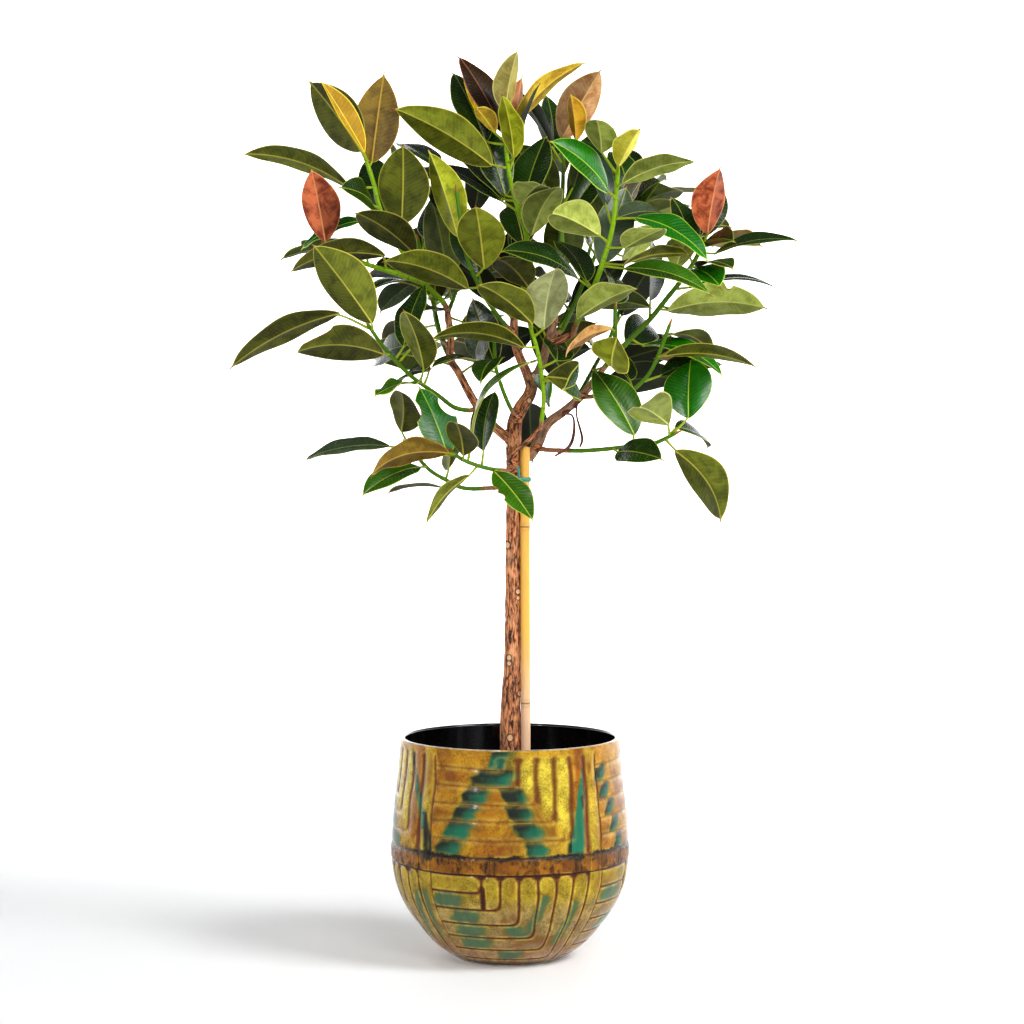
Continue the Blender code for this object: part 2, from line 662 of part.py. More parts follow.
# Soil
def build_soil():
    """Soil that fills the pot to below its rim, with a plain hole for the trunk and one for the cane."""
    wall = inner_wall(pot_outline())
    (low_radius, low), (high_radius, high) = wall[-3:-1]
    share = (SOIL_TOP * MM - low) / (high - low)
    wall = [(wall[0][0], wall[0][1] + CLEARANCE), *wall[1:-2],
            (low_radius + (high_radius - low_radius) * share, SOIL_TOP * MM)]
    rings = [round_ring(radius - 1.2 * CLEARANCE, height, INNER_SIDES) for radius, height in wall]
    rings.append(round_ring(SOIL_MOUND_RADIUS * MM, (SOIL_TOP + SOIL_MOUND) * MM, INNER_SIDES))
    soil = solid("soil", rings, make_material("soil", (0.028, 0.018, 0.011), 0.95))
    top = (SOIL_TOP + SOIL_MOUND + CUT_PAST) * MM
    trunk_foot = seen_at(*TRUNK[0][:3])
    trunk_foot.z -= CLEARANCE
    hole_radius = TRUNK[0][3] * MM + CLEARANCE * 1.2
    line = [trunk_foot, Vector((trunk_foot.x, trunk_foot.y, top))]
    cut(soil, solid("trunk_hole", tube_rings(line, [hole_radius] * 2, TRUNK_SIDES)))
    foot, head = cane_axis()
    down = (foot - head).normalized()
    line = [foot + down * CLEARANCE, foot + (head - foot) * (top - foot.z) / (head.z - foot.z)]
    cut(soil, solid("cane_hole", tube_rings(line, [CANE_RADIUS * MM + CLEARANCE * 1.2] * 2, TRUNK_SIDES)))
    return soil


# Cane and tie
def cane_axis():
    return [Vector(point) * MM for point in CANE_LINE]


def cane_point(height):
    """The middle of the cane at a height in millimetres."""
    foot, head = cane_axis()
    return foot.lerp(head, (height * MM - foot.z) / (head.z - foot.z))


def build_cane():
    """A straight cane that is a little thicker at its knots."""
    foot, head = cane_axis()
    line = [foot]
    radii = [CANE_RADIUS * MM]
    for knot in CANE_KNOTS:
        for step, swell in zip(KNOT_STEPS, (0, KNOT_SWELL, KNOT_SWELL, 0)):
            line.append(cane_point(knot + step))
            radii.append((CANE_RADIUS + swell) * MM)
    line.append(head)
    radii.append(CANE_RADIUS * MM)
    return solid("cane", tube_rings(line, radii, TRUNK_SIDES), make_material("cane", (0.62, 0.40, 0.13), 0.5))


def build_tie():
    """A flat plastic tie drawn round the trunk and the cane, with a short free end."""
    height = TIE_HEIGHT * MM
    x, depth, _, trunk_radius = next(place for place in TRUNK if place[2] == TIE_HEIGHT)
    held = [(Vector((x, depth)) * MM, trunk_radius * MM), (cane_point(TIE_HEIGHT).xy, CANE_RADIUS * MM)]

    def around(offset, z):
        ring = []
        for k in range(TIE_SIDES):
            turn = math.tau * k / TIE_SIDES
            direction = Vector((math.cos(turn), math.sin(turn)))
            centre, radius = max(held, key=lambda circle: circle[0].dot(direction) + circle[1])
            ring.append((centre + direction * (radius + offset)).to_3d() + Vector((0, 0, z)))
        return ring

    inner = 1.6 * CLEARANCE
    outer = inner + TIE_THICKNESS * MM
    low = height - TIE_WIDTH * MM / 2
    high = height + TIE_WIDTH * MM / 2
    bm = bmesh.new()
    loops = [[bm.verts.new(p) for p in around(o, z)] for o, z in
             ((inner, low), (outer, low), (outer, high), (inner, high))]
    for near, far in zip(loops, loops[1:] + loops[:1]):
        for i in range(TIE_SIDES):
            j = (i + 1) % TIE_SIDES
            bm.faces.new((near[i], near[j], far[j], far[i]))
    bmesh.ops.recalc_face_normals(bm, faces=bm.faces)
    tie = add_object("tie", bm, make_material("tie_plastic", (0.02, 0.30, 0.24), 0.35))
    line = [Vector(point) * MM for point in TIE_END]
    fuse(tie, [solid("tie_end", tube_rings(line, [TIE_END_RADIUS * MM] * len(line), 4))])
    return tie


# Wood
def limb_line(limb):
    return [seen_at(x, depth, z) for x, depth, z, _ in limb], [radius * MM for *_, radius in limb]


def spread_lines(shoot):
    """The shoot's lines as points, spread in depth from where it leaves the wood."""
    start = shoot["lines"][0][0][1]
    return [
        [seen_at(x, start + (depth - start) * DEPTH_SPREAD, z) for x, depth, z in line]
        for line in shoot["lines"]
    ]


def collar_line(shoot):
    """From the wood's middle line to the face where the shoot begins."""
    if "limb" in shoot:
        return limb_line(LIMBS[shoot["limb"]])[0][-2:]
    foot, ahead = spread_lines(shoot)[0][:2]
    return [foot, foot + (ahead - foot).normalized() * shoot["collar"] * MM]


def wood_solids():
    """The trunk first, then what is fused to it: limbs, dry hanging roots and the shoots' collars."""
    line, radii = limb_line(TRUNK)
    solids = [("trunk", tube_rings(line, radii, TRUNK_SIDES))]
    for i, limb in enumerate(LIMBS):
        line, radii = limb_line(limb)
        solids.append((f"limb_{i}", tube_rings(line, radii, LIMB_SIDES)))
    for i, root in enumerate(DRY_ROOTS):
        line, radii = limb_line(root)
        solids.append((f"dry_root_{i}", tube_rings(line, radii, DRY_ROOT_SIDES)))
    for name, shoot in SHOOTS.items():
        if "collar" in shoot:
            radius = (shoot["radius"][0] + COLLAR_EXTRA) * MM
            solids.append((f"{name}_collar", tube_rings(collar_line(shoot), [radius] * 2, SHOOT_SIDES)))
    return solids


def build_trunk():
    bark = make_material("bark", (0.19, 0.09, 0.045), 0.85)
    solids = [solid(name, rings) for name, rings in wood_solids()]
    trunk = solids[0]
    fuse(trunk, solids[1:])
    trunk.data.materials.clear()
    trunk.data.materials.append(bark)
    return trunk


# Shoots and leaves
def shoot_lines(shoot):
    """The shoot's own line, from the face where it begins, and its side lines."""
    lines = spread_lines(shoot)
    foot, face = collar_line(shoot)
    ahead = (face - foot).normalized()
    start = face + ahead * CLEARANCE
    lines[0] = [start, start + ahead * 4 * MM, *lines[0][1:]]
    return lines


def nearest_on(lines, base):
    """The point of the lines that is seen nearest to a leaf's base, and the direction there."""
    best = None
    for line in lines:
        for a, b in zip(line, line[1:]):
            along = b - a
            flat = Vector((along.x, along.z))
            t = Vector((base.x - a.x, base.z - a.z)).dot(flat) / max(flat.length_squared, 1e-12)
            point = a + along * min(max(t, 0.15), 0.97)
            miss = Vector((base.x - point.x, base.z - point.z)).length
            if best is None or miss < best[0]:
                best = (miss, point, along.normalized())
    return best[1], best[2]


def seen_leaf(row, lines):
    """A leaf's root in the shoot, base, tip and the direction of its upper face, from where it is seen."""
    base_x, base_z, tip_x, tip_z, sense, length, width, roll, arch, form = row
    depth_guess = 0
    for _ in range(2):
        root, along = nearest_on(lines, seen_at(base_x, depth_guess, base_z))
        depth_guess = root.y / MM + BASE_DEPTH * sense
    root = root - along * ROOT_BACK * MM
    base = seen_at(base_x, depth_guess, base_z)
    seen_length = math.hypot(tip_x - base_x, tip_z - base_z)
    tip_depth = depth_guess + sense * math.sqrt(max(length ** 2 - seen_length ** 2, 0))
    tip = seen_at(tip_x, tip_depth, tip_z)
    axis = (tip - base).normalized()
    front = Vector((0, -1, 0))
    upward = axis.cross(front).normalized()
    if upward.z < -0.05 or (abs(upward.z) <= 0.05 and upward.x * base.x > 0):
        upward = -upward
    front = (front - axis * front.dot(axis)).normalized()
    face = upward * math.cos(math.radians(roll)) + front * math.sin(math.radians(roll))
    return {"root": root, "base": base, "tip": tip, "face": face, "width": width * MM, "arch": arch * MM,
            "form": form}


def point_along(line, t):
    """The point at a share t of the line's points, and the direction there."""
    place = t * (len(line) - 1)
    k = min(int(place), len(line) - 2)
    return line[k].lerp(line[k + 1], place - k), (line[k + 1] - line[k]).normalized()


def rule_leaf(line, t, turn, spread, length, width, arch):
    """A leaf that leaves the line at t, turned round it from the side away from the front."""
    root, along = point_along(line, t)
    away = (Vector((0, 1, 0)) - along * along.y).normalized()
    outward = away * math.cos(turn) + along.cross(away) * math.sin(turn)
    direction = (along * math.cos(spread) + outward * math.sin(spread)).normalized()
    base = root + direction * RULE_PETIOLE * MM
    tip = base + (direction - Vector((0, 0, RULE_DROOP))).normalized() * length * MM
    axis = (tip - base).normalized()
    face = (along - axis * along.dot(axis)).normalized()
    return {"root": root, "base": base, "tip": tip, "face": face, "width": width * MM, "arch": arch * MM,
            "form": "plain"}


def rule_choices(line, count, turned_away, draw):
    """For each leaf by rule, by the golden turn along the shoot, itself and the same at other turns."""
    choices = []
    for i in range(count):
        t = RULE_FIRST + (RULE_LAST - RULE_FIRST) * (i + 0.5) / count
        turn = GOLDEN_TURN * i + draw.uniform(-12, 12)
        if turned_away:
            turn = AWAY_RANGE * math.sin(math.radians(turn))
        spread = math.radians(SPREAD[0] + (SPREAD[1] - SPREAD[0]) * t + draw.uniform(-6, 6))
        length = (RULE_LENGTH[0] + (RULE_LENGTH[1] - RULE_LENGTH[0]) * t) * draw.uniform(0.92, 1.08)
        width = length * draw.uniform(0.42, 0.48)
        arch = draw.uniform(5, 12)
        turned = [
            rule_leaf(line, t, math.radians(turn + other), spread, length, width, arch)
            for other in OTHER_TURNS
        ]
        choices.append(sorted(turned, key=lambda leaf: leaf["tip"].z < RULE_LOWEST * MM))
    return choices


def outline_width(u):
    """Half the blade's width at u along it, as a share of the whole width: an ellipse with a drip tip."""
    if u >= 1:
        return 0
    body = math.sin(math.pi * min(u / 0.95, 1) ** 0.94)
    return 0.5 * max(max(body, 0) ** 0.72, 0.3 * (1 - u))


def leaf_rings(leaf, swell=0.0):
    """Four points a ring, edge, rib, edge and back: the stalk from its root, then the blade to its tip."""
    base, tip, face = leaf["base"], leaf["tip"], leaf["face"]
    axis = (tip - base).normalized()
    stalk = (base - leaf["root"]).normalized()
    radius = PETIOLE_RADIUS * MM + swell
    rings = []
    for centre, ahead in ((leaf["root"], stalk), (base, axis)):
        up = (face - ahead * face.dot(ahead)).normalized()
        side = ahead.cross(up)
        corners = (side, up, -side, -up)
        rings.append([centre + corner * radius for corner in corners])
    fold = math.radians(FOLD[leaf["form"]])
    for u in STATIONS[leaf["form"]]:
        centre = base.lerp(tip, u) + face * leaf["arch"] * 4 * u * (1 - u)
        ahead = (tip - base + face * leaf["arch"] * 4 * (1 - 2 * u)).normalized()
        up = (face - ahead * face.dot(ahead)).normalized()
        side = ahead.cross(up)
        half = outline_width(u) * leaf["width"] + swell
        lift = up * half * math.sin(fold)
        reach = side * half * math.cos(fold)
        rib = up * (RIB_THICKNESS * MM / 2 + swell)
        rings.append([centre + reach + lift, centre + rib, centre - reach + lift, centre - rib])
    rings.append([tip.copy()])
    return rings


def tree_of(rings):
    bm = skin(bmesh.new(), rings)
    bmesh.ops.triangulate(bm, faces=bm.faces)
    tree = BVHTree.FromBMesh(bm)
    bm.free()
    return tree


def box_of(rings):
    points = [point for ring in rings for point in ring]
    low = Vector(min(point[axis] for point in points) for axis in range(3))
    high = Vector(max(point[axis] for point in points) for axis in range(3))
    return low, high


def entry(shoot_name, rings, blade=None):
    """What later leaves are tested against: a tree and box of the whole, and of the blade alone."""
    blade = blade or rings
    return {"shoot": shoot_name, "tree": tree_of(rings), "box": box_of(rings), "blade": tree_of(blade)}


def boxes_meet(a, b):
    return all(a[0][axis] <= b[1][axis] and b[0][axis] <= a[1][axis] for axis in range(3))


def nudges():
    """Changes in metres, the smallest first: depth of the tip, arch, and height of the tip."""
    tried = []
    for depth in DEPTH_NUDGES:
        for arch in ARCH_NUDGES:
            for rise in RISE_NUDGES:
                cost = abs(depth) + ARCH_COST * abs(arch) + RISE_COST * abs(rise)
                tried.append((cost, depth * MM, arch * MM, rise * MM))
    return [change[1:] for change in sorted(tried)]


def settle(leaf, shoot_name, placed, changes):
    """Bend a leaf until it is clear of every other shoot, and of its own shoot's blades if it can be.

    Returns the leaf, and whether it is clear of both."""
    fallback = None
    for depth, arch, rise in changes:
        bent = dict(leaf)
        bent["base"] = leaf["base"] + Vector((0, depth, rise)) * BASE_SHARE
        bent["tip"] = leaf["tip"] + Vector((0, depth, rise))
        bent["arch"] = leaf["arch"] + arch
        axis = (bent["tip"] - bent["base"]).normalized()
        bent["face"] = (leaf["face"] - axis * leaf["face"].dot(axis)).normalized()
        rings = leaf_rings(bent, LEAF_ROOM * MM)
        box = box_of(rings)
        near = [other for other in placed if boxes_meet(box, other["box"])]
        tree = tree_of(rings)
        if any(other["shoot"] != shoot_name and tree.overlap(other["tree"]) for other in near):
            continue
        blade = tree_of(outer_part(rings))
        if any(other["shoot"] == shoot_name and blade.overlap(other["blade"]) for other in near):
            fallback = fallback or bent
            continue
        return bent, True
    return fallback, False


def outer_part(rings):
    """The leaf without the half of its stalk that is next to the shoot."""
    middle = [(a + b) / 2 for a, b in zip(rings[0], rings[1])]
    return [middle, *rings[1:]]


def settle_choice(leaves, shoot_name, placed):
    """The first of the leaves that finds room clear of all, or else clear of the other shoots."""
    changes = nudges()
    if len(leaves) > 1:
        changes = changes[:FEW_NUDGES]
    fallback = None
    for leaf in leaves:
        bent, clear = settle(leaf, shoot_name, placed, changes)
        if clear:
            return bent
        fallback = fallback or bent
    return fallback


def bud_line(line):
    """The line of a shoot with the sheath of its bud, which narrows to a point past the last leaf."""
    ahead = (line[-1] - line[-2]).normalized()
    return [*line, line[-1] + ahead * BUD_LENGTH * MM]


def shoot_radii(shoot, line):
    foot, tip = shoot["radius"]
    count = len(line)
    radii = [(foot + (tip - foot) * i / (count - 1)) * MM for i in range(count)]
    return [*radii, BUD_RADIUS * MM]


def place_leaves():
    """Each shoot's tubes and settled leaves, as seen leaves first and then those set by rule."""
    draw = random.Random(SEED)
    placed = [entry("trunk", rings) for _, rings in wood_solids()]
    for name in ("cane", "tie"):
        bm = bmesh.new()
        bm.from_mesh(bpy.data.objects[name].data)
        tree = BVHTree.FromBMesh(bm)
        points = [[vert.co.copy() for vert in bm.verts]]
        placed.append({"shoot": name, "tree": tree, "box": box_of(points), "blade": tree})
        bm.free()
    tubes = {}
    for name, shoot in SHOOTS.items():
        tubes[name] = []
        for line in shoot_lines(shoot):
            rings = tube_rings(bud_line(line), shoot_radii(shoot, line), SHOOT_SIDES)
            tubes[name].append(rings)
            placed.append(entry(name, rings))
    settled = {name: [] for name in SHOOTS}
    for stage in ("seen", "rule"):
        for name, shoot in SHOOTS.items():
            lines = shoot_lines(shoot)
            if stage == "seen":
                choices = [[seen_leaf(row, lines)] for row in shoot["leaves"]]
            else:
                choices = rule_choices(lines[0], shoot["more"], bool(shoot["leaves"]), draw)
            for choice in choices:
                leaf = settle_choice(choice, name, placed)
                if leaf is None:  # a leaf by rule that would cross another shoot wherever it turns
                    continue
                rings = leaf_rings(leaf)
                placed.append(entry(name, rings, outer_part(rings)))
                settled[name].append(rings)
    return tubes, settled


def build_shoots():
    green = make_material("rubber_plant_leaf", (0.035, 0.10, 0.02), 0.3)
    tubes, settled = place_leaves()
    for name in SHOOTS:
        shoot = solid(name, tubes[name][0])
        pieces = [solid(f"{name}_side", rings) for rings in tubes[name][1:]]
        pieces += [solid(f"{name}_leaf", rings) for rings in settled[name]]
        fuse(shoot, pieces)
        shoot.data.materials.clear()
        shoot.data.materials.append(green)


def main():
    for obj in list(bpy.data.objects):
        bpy.data.objects.remove(obj)
    build_pot()
    build_soil()
    build_cane()
    build_tie()
    build_trunk()
    build_shoots()


main()
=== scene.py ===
# Potted rubber plant: the looks of each piece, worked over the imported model.
import math
import random
import bmesh
import bpy
import numpy as np
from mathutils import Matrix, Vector, noise
from mathutils.bvhtree import BVHTree
from mathutils.kdtree import KDTree


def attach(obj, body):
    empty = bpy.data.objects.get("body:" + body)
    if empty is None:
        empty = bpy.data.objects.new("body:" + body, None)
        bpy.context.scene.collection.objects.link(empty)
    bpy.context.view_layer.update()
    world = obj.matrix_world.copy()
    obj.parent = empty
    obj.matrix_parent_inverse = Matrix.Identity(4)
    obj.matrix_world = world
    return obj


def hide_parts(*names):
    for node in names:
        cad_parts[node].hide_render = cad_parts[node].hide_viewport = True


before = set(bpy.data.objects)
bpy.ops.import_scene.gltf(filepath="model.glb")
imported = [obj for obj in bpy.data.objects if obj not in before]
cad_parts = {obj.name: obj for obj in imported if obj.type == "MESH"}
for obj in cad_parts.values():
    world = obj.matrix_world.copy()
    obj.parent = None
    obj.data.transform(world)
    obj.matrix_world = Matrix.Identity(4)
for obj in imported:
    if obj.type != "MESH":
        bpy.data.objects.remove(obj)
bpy.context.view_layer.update()  # one body, "root", with a node for each piece of the plant
bpy.ops.object.select_all(action="DESELECT")
print("stage: the packed model is loaded")

mm = 0.001

# The photograph is seen from this eye. Places given as "seen" are x and z in the trunk's plane, in mm.
view = {
    "distance": 3600,
    "height": 740,
    "aimX": 2.5,
    "aimZ": 559,
    "lens": 101.4,
    "sensor": 36,
}


def tone(red, green, blue):
    # a colour as a picker shows it, 0 to 255, turned into the linear values that shaders work in
    shares = [value / 255 for value in (red, green, blue)]
    return tuple(s / 12.92 if s <= 0.04045 else ((s + 0.055) / 1.055) ** 2.4 for s in shares)


# Shader sums
class Wire:  # an output socket, with the operators that the finishes use
    def __init__(self, finish, socket):
        self.finish = finish
        self.socket = socket

    def work(self, operation, *values):
        return self.finish.add("ShaderNodeMath", {"operation": operation}, dict(enumerate(values)))

    def __add__(self, other):
        return self.work("ADD", self, other)

    def __radd__(self, other):
        return self.work("ADD", other, self)

    def __sub__(self, other):
        return self.work("SUBTRACT", self, other)

    def __rsub__(self, other):
        return self.work("SUBTRACT", other, self)

    def __mul__(self, other):
        return self.work("MULTIPLY", self, other)

    def __rmul__(self, other):
        return self.work("MULTIPLY", other, self)

    def __truediv__(self, other):
        return self.work("DIVIDE", self, other)

    def __pow__(self, other):
        return self.work("POWER", self, other)

    def sine(self):
        return self.work("SINE", self)

    def size(self):
        return self.work("ABSOLUTE", self)

    def rise(self, low, high):  # 0 below low, 1 above high, smooth between; the other way round if low > high
        return self.finish.add("ShaderNodeMapRange", {"interpolation_type": "SMOOTHSTEP"},
                               {0: self, 1: low, 2: high, 3: 0.0, 4: 1.0})


class Finish:  # one material, built by naming its nodes
    def __init__(self, name):
        self.material = bpy.data.materials.new(name)
        self.material.use_nodes = True
        self.tree = self.material.node_tree
        self.shader = self.tree.nodes["Principled BSDF"]

    def add(self, kind, settings=None, inputs=None, output=0):
        node = self.tree.nodes.new(kind)
        for key, value in (settings or {}).items():
            setattr(node, key, value)
        for key, value in (inputs or {}).items():
            self.plug(node.inputs[key], value)
        return Wire(self, node.outputs[output])

    def plug(self, socket, value):
        if isinstance(value, Wire):
            self.tree.links.new(value.socket, socket)
        elif socket.type == "RGBA" and len(value) == 3:
            socket.default_value = (*value, 1)
        else:
            socket.default_value = value

    def set(self, **values):
        for name, value in values.items():
            self.plug(self.shader.inputs[finishSockets[name]], value)

    def stored(self, name, output="Fac"):
        return self.add("ShaderNodeAttribute", {"attribute_name": name}, output=output)

    def parts(self, vector):
        node = self.add("ShaderNodeSeparateXYZ", inputs={0: vector}).socket.node
        return [Wire(self, socket) for socket in node.outputs]

    def join(self, x, y, z):
        return self.add("ShaderNodeCombineXYZ", inputs={0: x, 1: y, 2: z})

    def place(self):  # the point on the piece, in metres
        return self.add("ShaderNodeTexCoord", output="Object")

    def stretch(self, vector, scale):
        return self.add("ShaderNodeMapping", inputs={"Vector": vector, "Scale": scale})

    def cloud(self, vector, scale, detail=2.0, roughness=0.5, distortion=0.0):
        return self.add("ShaderNodeTexNoise", inputs={
            "Vector": vector, "Scale": scale, "Detail": detail, "Roughness": roughness,
            "Distortion": distortion,
        })

    def cells(self, vector, scale, feature="F1"):
        return self.add("ShaderNodeTexVoronoi", {"feature": feature}, {"Vector": vector, "Scale": scale},
                        output="Distance")

    def mix(self, share, first, second):
        return self.add("ShaderNodeMix", {"data_type": "RGBA"}, {0: share, 6: first, 7: second}, output=2)

    def tint(self, colour, brightness):  # a colour made lighter or darker by a value
        grey = self.join(brightness, brightness, brightness)
        return self.add("ShaderNodeMix", {"data_type": "RGBA", "blend_type": "MULTIPLY"},
                        {0: 1.0, 6: colour, 7: grey}, output=2)

    def bump(self, height, depth, strength=1.0):
        self.set(normal=self.add("ShaderNodeBump", inputs={
            "Strength": strength, "Distance": depth, "Height": height,
        }))


finishSockets = {
    "colour": "Base Color", "roughness": "Roughness", "normal": "Normal", "shine": "Specular IOR Level",
    "coat": "Coat Weight", "coatRoughness": "Coat Roughness", "glow": "Emission Color",
    "glowPower": "Emission Strength",
}


# Mesh helpers
def seenAt(x, depth, z):
    # the point that is seen at x, z and stands a depth behind the trunk's plane
    scale = (view["distance"] + depth) / view["distance"]
    return Vector((x * scale, depth, view["height"] + (z - view["height"]) * scale)) * mm


def smoothLine(points, steps):
    # a Catmull-Rom line through the points
    padded = [points[0] * 2 - points[1], *points, points[-1] * 2 - points[-2]]
    line = []
    for a, b, c, d in zip(padded, padded[1:], padded[2:], padded[3:]):
        for step in range(steps):
            t = step / steps
            line.append(
                ((b * 2) + (c - a) * t + (a * 2 - b * 5 + c * 4 - d) * t * t
                 + (b * 3 - a - c * 3 + d) * t ** 3) / 2
            )
    line.append(points[-1].copy())
    return line


def gridSheet(name, rows, columns):
    # a flat grid with the row and column of each of its points, ready to be laid out by a formula
    bpy.ops.mesh.primitive_grid_add(x_subdivisions=rows, y_subdivisions=columns, size=1)
    piece = bpy.context.object
    piece.name = name
    flat = meshPoints(piece)
    row = np.rint((flat[:, 0] + 0.5) * rows).astype(int)
    column = np.rint((flat[:, 1] + 0.5) * columns).astype(int)
    return piece, row, column


def meshPoints(piece):
    points = np.empty(len(piece.data.vertices) * 3)
    piece.data.vertices.foreach_get("co", points)
    return points.reshape(-1, 3)


def layPoints(piece, points):
    piece.data.vertices.foreach_set("co", np.asarray(points, float).ravel())
    piece.data.update()


def storeNumbers(piece, name, values):
    values = np.asarray(values, float)
    kind = "FLOAT" if values.ndim == 1 else "FLOAT_VECTOR"
    attribute = piece.data.attributes.new(name, kind, "POINT")
    attribute.data.foreach_set("value" if values.ndim == 1 else "vector", values.ravel())


def storeColours(piece, name, colours):
    colours = np.asarray(colours, float)
    full = np.ones((len(colours), 4))
    full[:, :3] = colours
    attribute = piece.data.attributes.new(name, "FLOAT_COLOR", "POINT")
    attribute.data.foreach_set("color", full.ravel())


def addObject(name, data):
    made = bpy.data.objects.new(name, data)
    bpy.context.scene.collection.objects.link(made)
    return made


def nearestTree(points):
    tree = KDTree(len(points))
    for i, point in enumerate(points):
        tree.insert(point, i)
    tree.balance()
    return tree


def selectOnly(*pieces):
    bpy.ops.object.select_all(action="DESELECT")
    for piece in pieces:
        piece.select_set(True)
    bpy.context.view_layer.objects.active = pieces[0]


def closeSeams(piece, gap=0.00001):
    # a wrapped sheet's two long edges meet, and its ends shrink to one point each
    selectOnly(piece)
    bpy.ops.object.mode_set(mode="EDIT")
    bpy.ops.mesh.select_all(action="SELECT")
    bpy.ops.mesh.remove_doubles(threshold=gap)
    bpy.ops.mesh.normals_make_consistent(inside=False)
    bpy.ops.object.mode_set(mode="OBJECT")


def joinPieces(pieces):
    selectOnly(*pieces)
    bpy.ops.object.join()
    return bpy.context.object


def applyModifier(piece, kind, **settings):
    selectOnly(piece)
    modifier = piece.modifiers.new(kind.title(), kind)
    for name, value in settings.items():
        setattr(modifier, name, value)
    bpy.ops.object.modifier_apply(modifier=modifier.name)


def smoothShade(piece):
    selectOnly(piece)
    bpy.ops.object.shade_smooth()


def carried(line):
    # for each point of a line, the way ahead and two directions across it, carried along without a twist
    frames = []
    side = None
    for i in range(len(line)):
        ahead = (line[min(i + 1, len(line) - 1)] - line[max(i - 1, 0)]).normalized()
        start = side if side else ahead.orthogonal()
        side = (start - ahead * start.dot(ahead)).normalized()
        frames.append((ahead, side, ahead.cross(side)))
    return frames


def smoothPlaces(line, radii, steps):
    # a smooth line whose points carry their radius as a fourth number
    return smoothLine([Vector((*point, radius)) for point, radius in zip(line, radii)], steps)


def rod(name, line, radii, sides):
    # a round rod along a line, its ends drawn in flat to one point
    count = len(line)
    piece, row, column = gridSheet(name, count + 1, sides)
    centres = np.array([line[0], *line, line[-1]])
    frames = carried(line)
    frames = [frames[0], *frames, frames[-1]]
    across = np.array([side for _, side, _ in frames])
    up = np.array([rise for _, _, rise in frames])
    radius = np.array([0, *radii, 0])
    turn = column / sides * math.tau
    points = centres[row] + radius[row, None] * (
        across[row] * np.cos(turn)[:, None] + up[row] * np.sin(turn)[:, None]
    )
    layPoints(piece, points)
    closeSeams(piece)
    return piece


def dress(piece, node, material):
    piece.data.materials.clear()
    piece.data.materials.append(material)
    handOver(piece, node)


def handOver(piece, node):
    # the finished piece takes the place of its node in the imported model
    smoothShade(piece)
    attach(piece, "root")
    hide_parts(node)
    piece.select_set(False)


# Camera, floor and lights
studio = {
    # a round white floor whose edge bends up all round; its far part glows, most of all behind the plant
    "floorRadius": 4.6,
    "floorRows": 44,
    "floorSides": 64,
    "coveBend": 0.9,
    "coveHeight": 2.6,
    "glow": 0.98,
    "frontGlow": 0.3,
    "glowFrom": 1.7,
    "glowFull": 4.2,
    "backGlow": 0.42,
    "nearGlow": 0.03,
    "world": 0.1,
    "floorTones": ((0.94, 0.945, 0.955), (0.96, 0.965, 0.975)),
    # name, place, aim, width and height in metres, power in watts
    "lamps": [
        ("keySoft", (2.6, -1.6, 2.6), (0, 0, 0.6), (1.4, 1.4), 118),
        ("frontStrip", (-1.6, -2.3, 1.25), (0, 0, 0.4), (0.16, 0.9), 14),
        ("frontSoft", (1.0, -3.2, 2.3), (0, 0, 0.7), (1.2, 0.8), 34),
        ("glintHigh", (-0.7, -2.3, 2.9), (0, 0, 0.8), (0.4, 0.4), 80),  # only mirrored in what is glossy
    ],
}


def buildCamera():
    lens = bpy.data.cameras.new("photoCamera")
    camera = addObject("photoCamera", lens)
    eye = Vector((0, -view["distance"], view["height"])) * mm
    aim = Vector((view["aimX"], 0, view["aimZ"])) * mm
    camera.location = eye
    camera.rotation_euler = (aim - eye).to_track_quat("-Z", "Y").to_euler()
    lens.lens = view["lens"]
    lens.sensor_width = view["sensor"]
    bpy.context.scene.camera = camera


